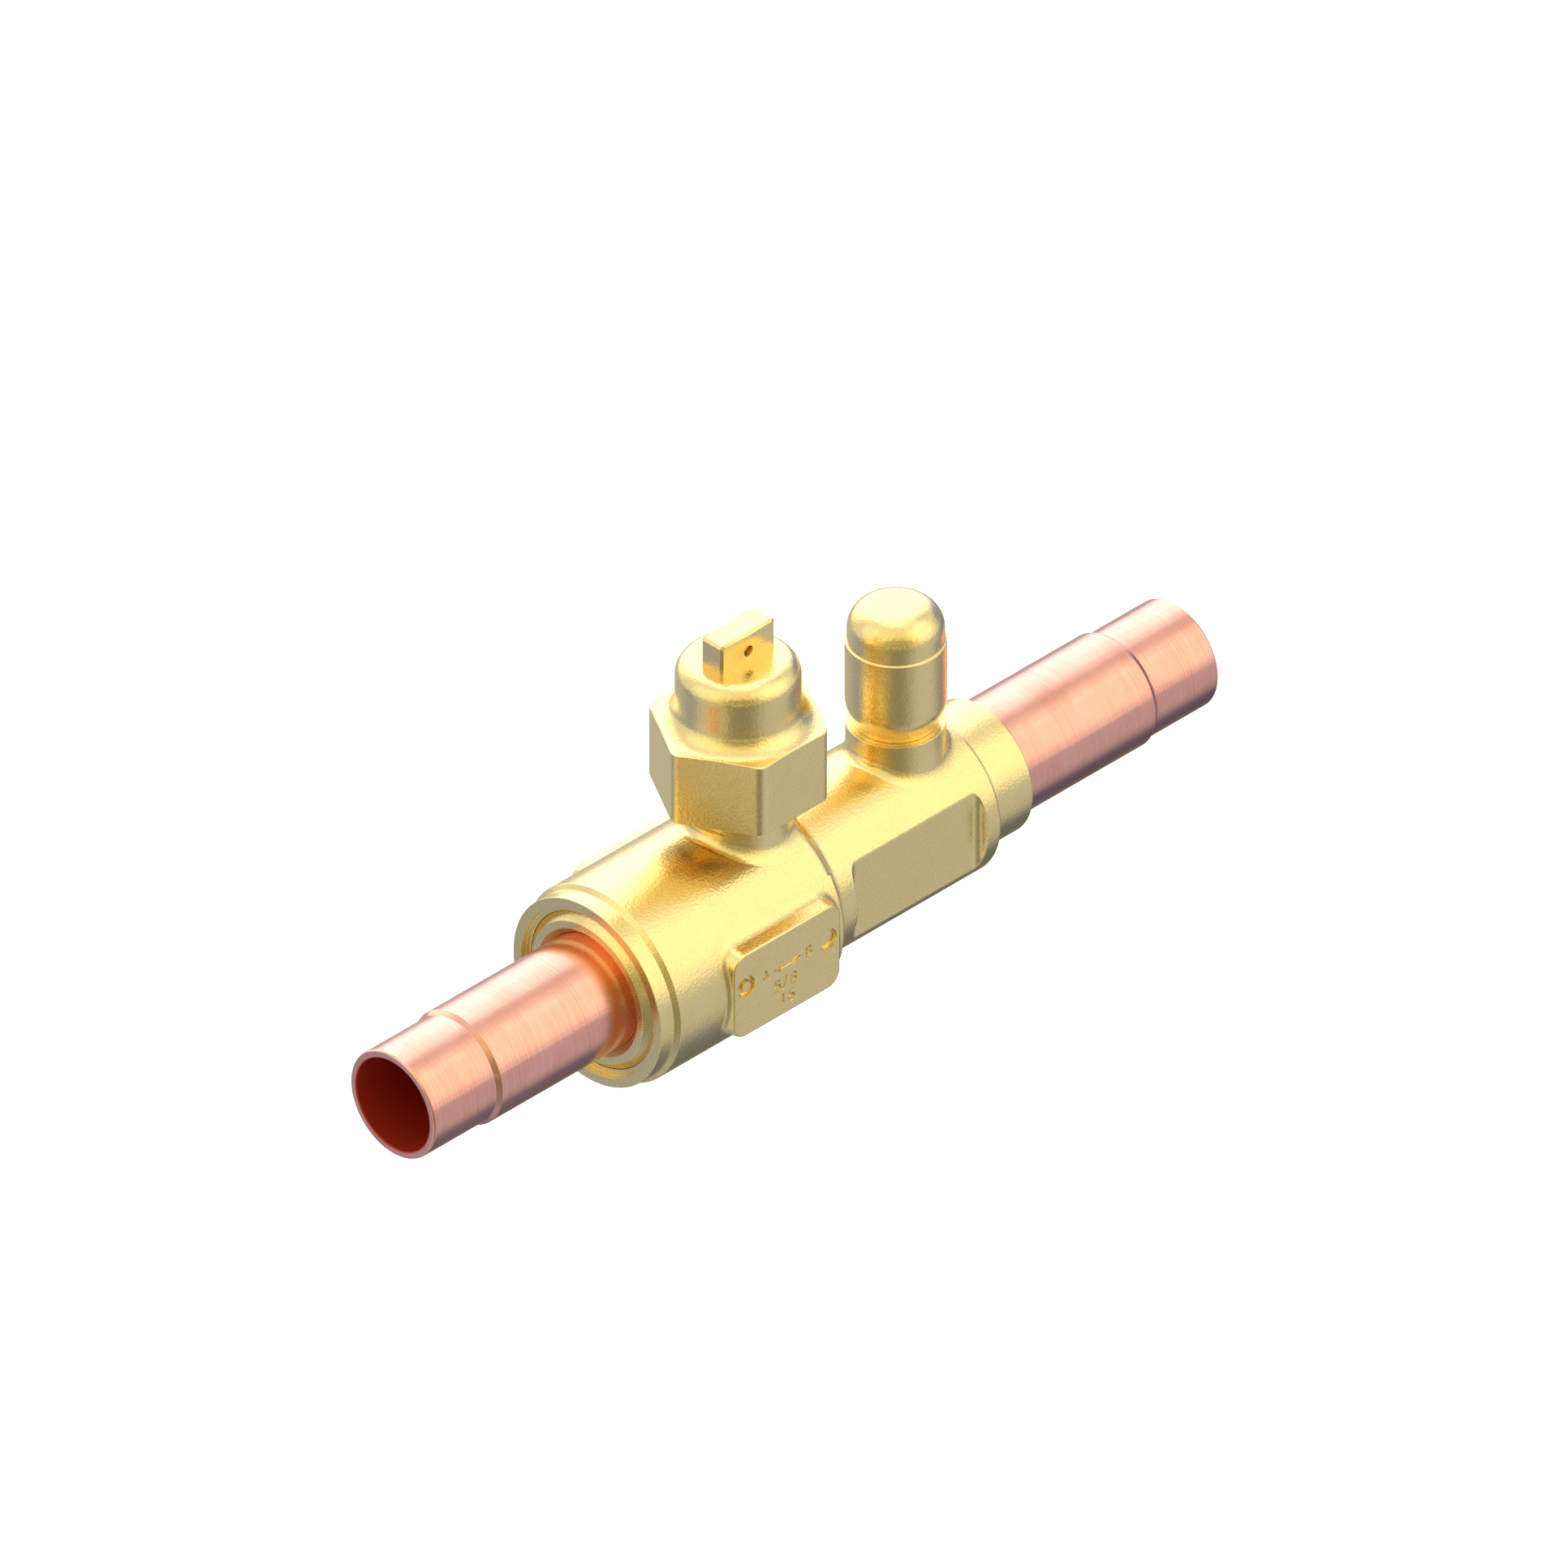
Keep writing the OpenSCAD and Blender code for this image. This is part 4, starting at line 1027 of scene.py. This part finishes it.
@dataclass
class StemCap:
    """The sealing cap: hexagon, round head and key blade.

    Attributes:
        bottom: Lower face.
        seat: Face that clamps the gasket.
        half_flat: Distance of the hexagon's flats from the axis.
        corner: Radius of its corners.
        edge: Rounding of its upper and lower edges.
        shoulder: Height of the shoulder over a corner of the unrounded hexagon.
        slope: Fall of the shoulder for each millimetre outwards.
        dome_radius: Outside of the head.
        dome_round: Rounding of the head's top edge.
        dome_fillet: Radius of the hollow between head and shoulder.
        dome_top: Top of the head.
        bore: Crest of the inner thread.
        thread: Depth of the inner thread.
        hollow: Radius of the space for the stem's end.
        hollow_top: Top of that space.
        blade_half_l: Half the length of the key blade.
        blade_half_t: Half its thickness.
        bevel: Size of its bevels.
        blade_top: Its top.
        hole_z: Height of its hole.
        hole_radius: Radius of its hole.
    """

    bottom: float = 22.75
    seat: float = 32.3
    half_flat: float = 12.5
    corner: float = 1.9
    edge: float = 0.1
    shoulder: float = 35.35
    slope: float = 0.2
    dome_radius: float = 9.8
    dome_round: float = 2.95
    dome_fillet: float = 3.5
    dome_top: float = 46.75
    bore: float = 9.05
    thread: float = 0.35
    hollow: float = 7.4
    hollow_top: float = 44.35
    blade_half_l: float = 5.9
    blade_half_t: float = 2.3
    bevel: float = 0.45
    blade_top: float = 52.5
    hole_z: float = 49.15
    hole_radius: float = 0.9

    def hexagon(self) -> Array:
        """Draws the hexagon with round corners, one of them on +X, and with points along its flats.

        Returns:
            The outline's points round the axis.
        """
        corner = self.half_flat / math.cos(math.pi / 6)
        a = angles(6)
        raw = np.stack([corner * np.cos(a), corner * np.sin(a), np.full(6, self.corner)], 1)
        return subdivided(rounded_outline([tuple(row) for row in raw], 8), 1.2)

    def shoulder_height(self, radius: Array) -> Array:
        """Works out the height of the shoulder.

        It is a cone that falls by the slope, plus a hollow quarter round at the head. The hollow rises by its
        radius less the root of its radius squared less the way in from its foot squared.

        Args:
            radius: Distances from the axis.

        Returns:
            The height at each.
        """
        f, corner_r = self.dome_fillet, self.half_flat / math.cos(math.pi / 6)
        foot = self.dome_radius + f
        inward = np.clip(foot - radius, 0, f)
        cone = self.shoulder + self.slope * (corner_r - np.maximum(radius, foot))
        return cone + f - np.sqrt(f ** 2 - inward ** 2)

    def build(self) -> None:
        """Carries the cap's outline round the hexagon, cuts its thread and adds the blade.

        The rows of the shoulder share its height function and end on the flats, wherever those cut it. The head
        and the inside are round.
        """
        flats = self.hexagon()
        ring, reach = np.arctan2(flats[:, 1], flats[:, 0]), np.hypot(flats[:, 0], flats[:, 1])
        waist = float(self.shoulder_height(np.array(self.dome_radius)))
        turned = rounded_outline([
            (waist + 0.1, self.dome_radius, PLAIN), (self.dome_top, self.dome_radius, self.dome_round),
            (self.dome_top, 0.0, PLAIN)], 12, False)
        head = turned[::-1]
        arc = np.radians(np.linspace(0, 68, 17))[:, None]  # round the hollow from the head's wall
        inner = self.dome_radius + self.dome_fillet * (1 - np.cos(arc)) + 0 * reach[None]
        start = self.dome_radius + self.dome_fillet * (1 - math.cos(arc[-1, 0]))
        outer = start + (reach[None] - self.edge - start) * np.linspace(0, 1, 13)[1:, None]
        spread = np.concatenate([inner, outer])
        inside = rounded_outline([
            (self.bottom, self.bore + 0.25, PLAIN), (self.bottom + 0.25, self.bore, 0.05),
            (self.seat, self.bore, 0.1), (self.seat, self.hollow, 0.1), (self.hollow_top, self.hollow, 0.8),
            (self.hollow_top, 0.0, PLAIN)], 5, False)
        inside = with_stations(inside, self.bottom + 1.2, self.seat - 0.4,
                               np.linspace(self.bottom + 1.1, self.seat - 0.3, 60))
        radius = np.repeat(inside[:, 1:], len(ring), 1)
        cut = np.abs(radius - self.bore) < 0.01
        groove = thread_depth(ring[None], inside[:, :1], self.bottom + 1.0, self.seat - 0.2, CAP_PITCH, self.thread)
        radius = radius + np.where(cut, self.thread - groove, 0)
        e, t = self.edge, np.linspace(0, math.pi / 2, 6)[:, None]
        rim, top = reach[None], self.shoulder_height(reach)[None]
        outside = [
            (head[:, 1:], head[:, :1]), (spread, self.shoulder_height(spread)),
            ((rim - e * (1 - np.sin(t)))[1:], (top - e * (1 - np.cos(t)))[1:]),
            (rim, top - e - 0.1), (rim, self.bottom + e + 0.1),  # guards that keep the flats flat
            (rim - e * (1 - np.cos(t)), self.bottom + e * (1 - np.sin(t))),
            (np.full((1, 1), self.bore + 0.75), self.bottom)]
        rows = [around_z(STEM_X, r, ring[None], z) for r, z in outside + [(radius, inside[:, :1])]]
        make_piece("forged_stem_cap", np.concatenate(rows), "stem_cap", FORGED_BRASS,
                   ["stem_cap"], poles=True)
        self.build_blade()

    def build_blade(self) -> None:
        """Makes the key blade as a ring round its hole.

        Each row is the hole's edge or the blade's outline, pulled in as it goes over the blade's edge.
        """
        foot, top = self.dome_top - 0.8, self.blade_top
        h, t, e = self.blade_half_l, self.blade_half_t, self.bevel
        rim = subdivided(rounded_outline([(-h, foot, 0.3), (h, foot, 0.3), (h, top - e, 0.1), (h - e, top, 0.1),
                                          (e - h, top, 0.1), (-h, top - e, 0.1)], 5), 0.4)
        centre = np.array([0.0, self.hole_z])
        spoke = rim - centre
        away = np.linalg.norm(spoke, axis=1, keepdims=True)
        hole = spoke / away * self.hole_radius
        shape = rounded_outline([(e + 0.5, t, PLAIN), (e, t, 0.1), (0.0, t - e, 0.1), (0.0, 0.0, PLAIN)], 4, False)
        over = [(spoke * (1 - inset / away), np.full((len(rim), 1), side)) for inset, side in shape[1:-1]]
        ease = 0.12  # rounding of the hole's edge
        mouth = [(hole * (1 + ease / self.hole_radius), np.full((len(rim), 1), t)),
                 (hole * (1 + 0.3 * ease / self.hole_radius), np.full((len(rim), 1), t - 0.3 * ease)),
                 (hole, np.full((len(rim), 1), t - ease))]
        near = mouth[::-1] + over
        half = [np.concatenate([p, y], 1) for p, y in near]
        back = [np.concatenate([p, -y], 1) for p, y in near[::-1]]
        rows = np.stack(half + back)
        points = np.stack([STEM_X + rows[..., 0], rows[..., 2], self.hole_z + rows[..., 1]], -1)
        make_piece("forged_key_blade", points, "stem_cap", FORGED_BRASS)


@dataclass
class ServiceCap:
    """The round cap on the service port.

    Attributes:
        bottom: Lower face.
        seat: Face that clamps the gasket.
        top: Top of the dome.
        radius: Outside of its wall.
        bore: Crest of the inner thread.
        thread: Depth of the inner thread.
    """

    bottom: float = 18.08
    seat: float = 34.6
    top: float = 39.7
    radius: float = 7.93
    bore: float = 5.65
    thread: float = 0.3

    def build(self) -> None:
        """Turns the cap's outline about the port's axis and cuts the thread inside it."""
        ring = angles(128)
        outside = rounded_outline([
            (self.top, 0.0, PLAIN), (self.top, 7.61, 4.3), (33.35, 7.61, 0.12), (33.2, self.radius, 0.12),
            (21.6, self.radius, 5.0), (18.8, 6.65, 0.15), (self.bottom, 6.6, 0.05), (self.bottom, 6.2, PLAIN)],
            12, False)
        inside = rounded_outline([
            (self.bottom, 6.15, PLAIN), (self.bottom + 0.3, 5.95, 0.1), (26.6, 5.95, 0.1), (26.6, self.bore, 0.1),
            (self.seat, self.bore, 0.1), (self.seat, 3.0, 0.1), (36.5, 3.0, 0.3), (36.5, 0.0, PLAIN)], 4, False)
        inside = with_stations(inside, 26.9, 34.2, np.linspace(26.8, 34.3, 60))
        radius = np.repeat(inside[:, 1:], len(ring), 1)
        cut = np.abs(radius - self.bore) < 0.01
        groove = thread_depth(ring[None], inside[:, :1], 26.7, 34.4, PORT_PITCH, self.thread)
        radius = radius + np.where(cut, self.thread - groove, 0)
        rows = [around_z(SERVICE_X, outside[:, 1:], ring[None], outside[:, :1]),
                around_z(SERVICE_X, radius, ring[None], inside[:, :1])]
        make_piece("turned_service_cap", np.concatenate(rows), "service_cap", FORGED_BRASS,
                   ["service_cap"], poles=True)


@dataclass
class ServiceFitting:
    """The threaded stub in the service boss, with its sealing cone.

    Attributes:
        top: Its upper end.
        thread_radius: Crest of the thread.
        thread: Depth of the thread.
    """

    top: float = 33.6
    thread_radius: float = 5.555
    thread: float = 0.65

    def build(self) -> None:
        """Turns the stub's outline about the port's axis and cuts its thread."""
        ring = angles(96)
        outline = rounded_outline([
            (11.25, 1.6, 0.05), (11.25, 4.0, 0.1), (18.05, 4.0, 0.05), (18.05, 5.0, 0.15), (20.05, 5.0, 0.2),
            (20.6, self.thread_radius, 0.1), (31.4, self.thread_radius, 0.1), (self.top, 3.25, 0.1),
            (self.top, 2.75, 0.1),
            (28.0, 2.75, 0.1), (28.0, 2.25, 0.1), (25.0, 2.25, 0.1), (25.0, 1.9, 0.05), (22.5, 1.9, 0.05),
            (22.5, 1.6, 0.05)], 4)
        outline = with_stations(outline, 20.8, 31.1, np.linspace(20.75, 31.25, 110))
        radius = np.repeat(outline[:, 1:], len(ring), 1)
        groove = thread_depth(ring[None], outline[:, :1], 20.6, 31.4, PORT_PITCH, self.thread)
        radius = radius - np.where(radius > self.thread_radius - 0.015, groove, 0)
        points = around_z(SERVICE_X, radius, ring[None], outline[:, :1])
        make_piece("turned_service_fitting", points, "valve", TURNED_BRASS, ["service_fitting"])


@dataclass
class CoreSpring:
    """The coil spring between the floor of the valve core and the collar of its pin.

    Attributes:
        floor: Its fixed lower end.
        collar: Its upper end at rest.
        travel: How far the pin presses it.
        wire: Radius of the wire.
        coil: Distance of the wire's middle from the axis.
        turns: How many turns it has.
    """

    floor: float = 25.42
    collar: float = 28.78
    # travel: How far the pin presses it; not used.
    travel: float = 1.2
    wire: float = 0.15
    coil: float = 1.25
    turns: int = 5

    def build(self) -> None:
        """Carries a round wire along a helix, whose middle rises evenly with the angle.

        The wire's circle stands in the plane of the port's axis, and its two ends close to a point each.
        """
        turn = np.linspace(0, 2 * math.pi * self.turns, 36 * self.turns + 1)[:, None]
        middle = self.floor + self.wire + (self.collar - self.floor - 2 * self.wire) * turn / turn[-1]
        round_wire = angles(12)[None]
        coil = around_z(SERVICE_X, self.coil + self.wire * np.cos(round_wire), turn,
                        middle + self.wire * np.sin(round_wire))
        ends = [around_z(SERVICE_X, self.coil + 0 * round_wire, turn[k], middle[k]) for k in (0, -1)]
        piece = make_piece("coiled_core_spring", np.concatenate([ends[0][:1], coil, ends[1][:1]]), "valve",
                           SPRING_STEEL, ["core_spring"], poles=True)
        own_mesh(piece)


@dataclass
class Workings:
    """The CAD nodes that keep their own shape.

    Attributes:
        finishes: Name and finish of each.
    """

    finishes: tuple[tuple[str, Finish], ...]

    def dress(self) -> None:
        """Puts each node's finish into all of its material slots."""
        for name, finish in self.finishes:
            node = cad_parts[name]
            for place in node.material_slots:
                place.material = finish.material()
            LOG.info("%s: dressed as %s", name, finish.name)


# ---------------------------------------------------------------- studio


@dataclass(frozen=True)
class Glow:
    """A soft light, or a dim stretch if its gain is negative, in the surroundings as the valve sees them.

    Attributes:
        azimuth: Degrees from +X towards +Y to its middle.
        height: Degrees above the horizon to its middle.
        inner: Degrees from its middle that are at full strength.
        outer: Degrees from its middle where it has faded out.
        gain: What it adds to the brightness.
    """

    azimuth: float
    height: float
    inner: float
    outer: float
    gain: float

    def add_to(self, tree: bpy.types.NodeTree, way: bpy.types.NodeSocket,
               total: bpy.types.NodeSocket) -> bpy.types.NodeSocket:
        """Adds the glow to a brightness, as a smooth step of the cosine of the angle to its middle.

        Args:
            tree: The tree that gets the nodes.
            way: Direction that is looked in.
            total: Brightness so far.

        Returns:
            The brightness with the glow.
        """
        a, h = math.radians(self.azimuth), math.radians(self.height)
        middle = (math.cos(h) * math.cos(a), math.cos(h) * math.sin(a), math.sin(h))
        near = add_node(tree, "ShaderNodeVectorMath", {0: way, 1: middle}, operation="DOT_PRODUCT")
        glow = add_node(tree, "ShaderNodeMapRange",
                        {"Value": near.outputs["Value"], "From Min": math.cos(math.radians(self.outer)),
                         "From Max": math.cos(math.radians(self.inner)), "To Min": 0.0, "To Max": self.gain},
                        interpolation_type="SMOOTHSTEP")
        return add_node(tree, "ShaderNodeMath", {0: total, 1: glow.outputs[0]}, operation="ADD").outputs[0]


def glowing(tree: bpy.types.NodeTree, kind: str, way: bpy.types.NodeSocket,
            *layers: tuple[str, float, Sequence[Glow]]) -> bpy.types.NodeSocket:
    """Adds up layers of light.

    Args:
        tree: The tree that gets the nodes.
        kind: Node that gives light there, for the world or for a surface.
        way: Direction that is looked in.
        layers: Colour of each layer, its base brightness and the glows on it.

    Returns:
        The light's shader.
    """
    whole = None
    for colour, base, glows in layers:
        total = add_node(tree, "ShaderNodeMath", {0: base, 1: 0.0}, operation="ADD").outputs[0]
        for glow in glows:
            total = glow.add_to(tree, way, total)
        light = add_node(tree, kind, {"Color": linear(colour), "Strength": total}).outputs[0]
        whole = light if whole is None else add_node(tree, "ShaderNodeAddShader", {0: whole, 1: light}).outputs[0]
    return whole


@dataclass
class Studio:
    """White sweep, soft light from the back, the right and over the camera, and the photograph's parallel view.

    The light has a warm and a blue layer, each a plain base with glows on it. Their sum is near white where both
    are strong, and warm where the blue is weak, which gives bright metal its range of tones.

    Attributes:
        floor_z: Height of the floor.
        card_z: Height of the grey card's middle.
        card_radius: Radius of the grey card.
        card_rise: Share of its depth by which its rim rises.
        view_width: Width of the picture.
        warm: Colour of the warm layer, sRGB hex.
        blue: Colour of the world's blue layer.
        card_tint: Colour of the card's blue layer.
        sky_base: The world's plain brightness, warm and blue.
        sky: Glows on its warm layer.
        sky_blue: Glows on its blue layer.
        card_base: The card's plain brightness, warm and blue.
        card: Glows on its warm layer.
        card_blue: Glows on its blue layer.
    """

    floor_z: float = -400.0
    card_z: float = -340.0
    card_radius: float = 1500.0
    card_rise: float = 0.7
    view_width: float = 241.5
    warm: str = "FFF8C4"
    blue: str = "0078FF"
    card_tint: str = "007CFF"
    sky_base: tuple[float, float] = (0.8, 0.42)
    sky: tuple[Glow, ...] = (
        Glow(61, 26, 18, 51, 1.45), Glow(-62, 34, 20, 40, 0.65), Glow(168, 32, 12, 40, 0.48),
        Glow(45, 78, 10, 35, 0.4), Glow(225, 50, 10, 30, 0.2), Glow(230, 0, 12, 42, -0.42),
        Glow(5, 0, 8, 28, -0.6), Glow(3, 53, 3, 16, -0.12), Glow(35, 48, 8, 24, -0.3),
        Glow(-25, 52, 6, 16, 0.22), Glow(54, -12, 8, 24, -1.0))
    sky_blue: tuple[Glow, ...] = (
        Glow(50, 28, 15, 50, 0.75), Glow(225, 10, 25, 75, -0.42), Glow(45, -20, 10, 42, -0.08),
        Glow(22, 50, 8, 26, -0.28))
    card_base: tuple[float, float] = (0.41, 0.4)
    card: tuple[Glow, ...] = (
        Glow(-68, -25, 18, 45, 0.16), Glow(176, -30, 12, 36, 0.24), Glow(85, -12, 20, 45, 0.14),
        Glow(5, -60, 12, 38, -0.25), Glow(-12, -32, 8, 26, -0.07), Glow(235, -25, 10, 45, -0.14),
        Glow(125, -38, 15, 42, -0.08), Glow(5, -5, 8, 30, -0.2))
    card_blue: tuple[Glow, ...] = (
        Glow(225, 0, 20, 65, -0.36), Glow(45, -38, 22, 52, -0.18), Glow(0, -60, 18, 45, -0.16))

    def surroundings(self) -> None:
        """Builds the world, a softly lit studio whose brightness depends on the direction alone."""
        world = bpy.data.worlds.new("studio")
        bpy.context.scene.world = world
        world.use_nodes = True
        tree = world.node_tree
        tree.nodes.clear()
        way = add_node(tree, "ShaderNodeTexCoord").outputs["Generated"]
        light = glowing(tree, "ShaderNodeBackground", way, (self.warm, self.sky_base[0], self.sky),
                        (self.blue, self.sky_base[1], self.sky_blue))
        add_node(tree, "ShaderNodeOutputWorld", {"Surface": light})

    def floor(self) -> None:
        """Lays a plain pale floor that shows white to the eye, in metal and through glass.

        Its paint lies under that white and keeps the shadow.
        """
        side, z = 6.0, self.floor_z * MM
        mesh = bpy.data.meshes.new("studio_floor")
        mesh.from_pydata([(-side, -side, z), (side, -side, z), (side, side, z), (-side, side, z)], [],
                         [(0, 1, 2, 3)])
        material = bpy.data.materials.new("matt_white_sweep")
        material.use_nodes = True
        tree = material.node_tree
        tree.nodes.clear()
        rays = add_node(tree, "ShaderNodeLightPath").outputs
        seen = add_node(tree, "ShaderNodeMath", {0: rays["Is Camera Ray"], 1: rays["Is Glossy Ray"]}, operation="ADD")
        seen = add_node(tree, "ShaderNodeMath", {0: seen.outputs[0], 1: rays["Is Transmission Ray"]},
                        operation="ADD", use_clamp=True)
        paint = add_node(tree, "ShaderNodeBsdfDiffuse", {"Color": linear("B4B4B4")})
        glow = add_node(tree, "ShaderNodeEmission", {"Color": linear("FFFFFF"), "Strength": seen.outputs[0]})
        both = add_node(tree, "ShaderNodeAddShader", {0: paint.outputs[0], 1: glow.outputs[0]})
        add_node(tree, "ShaderNodeOutputMaterial", {"Surface": both.outputs[0]})
        self.stage_piece(mesh, material)

    def grey_card(self) -> None:
        """Hangs a wide grey dish under the valve, as a photographer shades bright metal from below.

        Only reflections see it. It is a ring grid whose height rises with the fourth power of the distance.
        """
        rings, spokes = 24, 96
        reach = np.linspace(0.01, 1, rings)[:, None]
        height = self.card_z * (1 - self.card_rise * reach ** 4)
        points = (around_z(STEM_X, self.card_radius * reach, angles(spokes)[None], height) * MM).reshape(-1, 3)
        grid = np.arange(rings * spokes).reshape(rings, spokes)
        quads = np.stack([grid[:-1], grid[1:], np.roll(grid[1:], -1, 1), np.roll(grid[:-1], -1, 1)], -1)
        mesh = bpy.data.meshes.new("grey_card")
        mesh.from_pydata(points.tolist(), [], quads.reshape(-1, 4).tolist() + [grid[0].tolist()])
        material = bpy.data.materials.new("matt_grey_card")
        material.use_nodes = True
        tree = material.node_tree
        tree.nodes.clear()
        place = add_node(tree, "ShaderNodeTexCoord").outputs["Object"]
        centred = add_node(tree, "ShaderNodeVectorMath", {0: place, 1: (STEM_X * MM, 0, 0)}, operation="SUBTRACT")
        way = add_node(tree, "ShaderNodeVectorMath", {0: centred.outputs[0]}, operation="NORMALIZE")
        light = glowing(tree, "ShaderNodeEmission", way.outputs[0], (self.warm, self.card_base[0], self.card),
                        (self.card_tint, self.card_base[1], self.card_blue))
        add_node(tree, "ShaderNodeOutputMaterial", {"Surface": light})
        card = self.stage_piece(mesh, material)
        card.visible_camera = card.visible_diffuse = card.visible_shadow = False

    def stage_piece(self, mesh: bpy.types.Mesh, material: bpy.types.Material) -> bpy.types.Object:
        """Puts a mesh with its material on the stage, outside the object.

        Args:
            mesh: The mesh.
            material: What it is made of.

        Returns:
            The piece of the stage.
        """
        mesh.materials.append(material)
        piece = bpy.data.objects.new(mesh.name, mesh)
        bpy.context.scene.collection.objects.link(piece)
        return piece

    def lamp(self, name: str, place: Sequence[float], target: Sequence[float], size: float, power: float) -> None:
        """Hangs a square soft box and turns it to a target, all in metres.

        Args:
            name: Name of the lamp.
            place: Where it hangs.
            target: What it points at.
            size: Side of its square.
            power: Its power in watts.
        """
        data = bpy.data.lights.new(name, "AREA")
        data.shape, data.size, data.energy = "SQUARE", size, power
        lamp = bpy.data.objects.new(name, data)
        lamp.location = place
        lamp.rotation_euler = (Vector(target) - Vector(place)).to_track_quat("-Z", "Y").to_euler()
        bpy.context.scene.collection.objects.link(lamp)

    def camera(self) -> None:
        """Sets up the parallel view from above the inlet and the marked pad, all three axes equally short."""
        data = bpy.data.cameras.new("camera")
        data.type, data.ortho_scale = "ORTHO", self.view_width * MM
        data.clip_end = 10.0
        back = Vector((-1, -1, 1)).normalized()
        right, up = Vector((1, -1, 0)).normalized(), Vector((1, 1, 2)).normalized()
        middle = Vector((STEM_X, 0, 0)) + right * 7.0625 + up * 18.725  # the photograph's middle
        away = 900  # any distance shows the same in a parallel view
        camera = bpy.data.objects.new("camera", data)
        camera.location = (middle + back * away) * MM
        camera.rotation_euler = (-back).to_track_quat("-Z", "Y").to_euler()
        bpy.context.scene.collection.objects.link(camera)
        bpy.context.scene.camera = camera

    def build(self) -> None:
        """Sets the whole studio up."""
        bpy.context.scene.view_settings.view_transform = "Standard"
        self.surroundings()
        self.floor()
        self.grey_card()
        self.lamp("ceiling", (0.25, 0.2, 0.9), (STEM_X * MM, 0, 0), size=0.5, power=0.4)
        self.camera()


def main() -> None:
    """Builds the valve's pieces in order, then the studio."""
    logging.basicConfig(level=logging.INFO, format="%(message)s")
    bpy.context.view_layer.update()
    barrel = Barrel()
    for part in (CopperEnd("inlet_tube", 0.0, 1, 53.37), CopperEnd("outlet_tube", 170.8, -1, 53.49), barrel,
                 Pad(-1, barrel), Pad(1, barrel), StemNeck(barrel, STEM_X, 8.5, 1.8),
                 ServiceBoss(barrel, SERVICE_X, 7.83, 1.6), Retainer(), StemCap(), ServiceCap(), ServiceFitting(),
                 CoreSpring(), Studio()):
        part.build()
    Workings((
        ("ball", PLATED_BALL), ("inlet_seat", SEAT_PLASTIC), ("outlet_seat", SEAT_PLASTIC),
        ("seat_spring", SPRING_STEEL), ("retainer_o_ring", SEAL_RUBBER), ("stem", TURNED_BRASS),
        ("stem_washer", SEAT_PLASTIC), ("stem_o_ring_lower", SEAL_RUBBER), ("stem_o_ring_upper", SEAL_RUBBER),
        ("stop_pin", SPRING_STEEL), ("stem_cap_seal", GASKET_PLASTIC), ("core_housing", TURNED_BRASS),
        ("core_gasket", SEAT_PLASTIC), ("core_pin", SPRING_STEEL), ("core_disc", SEAL_RUBBER),
        ("service_cap_seal", GASKET_PLASTIC))).dress()


if __name__ == "__main__":
    main()
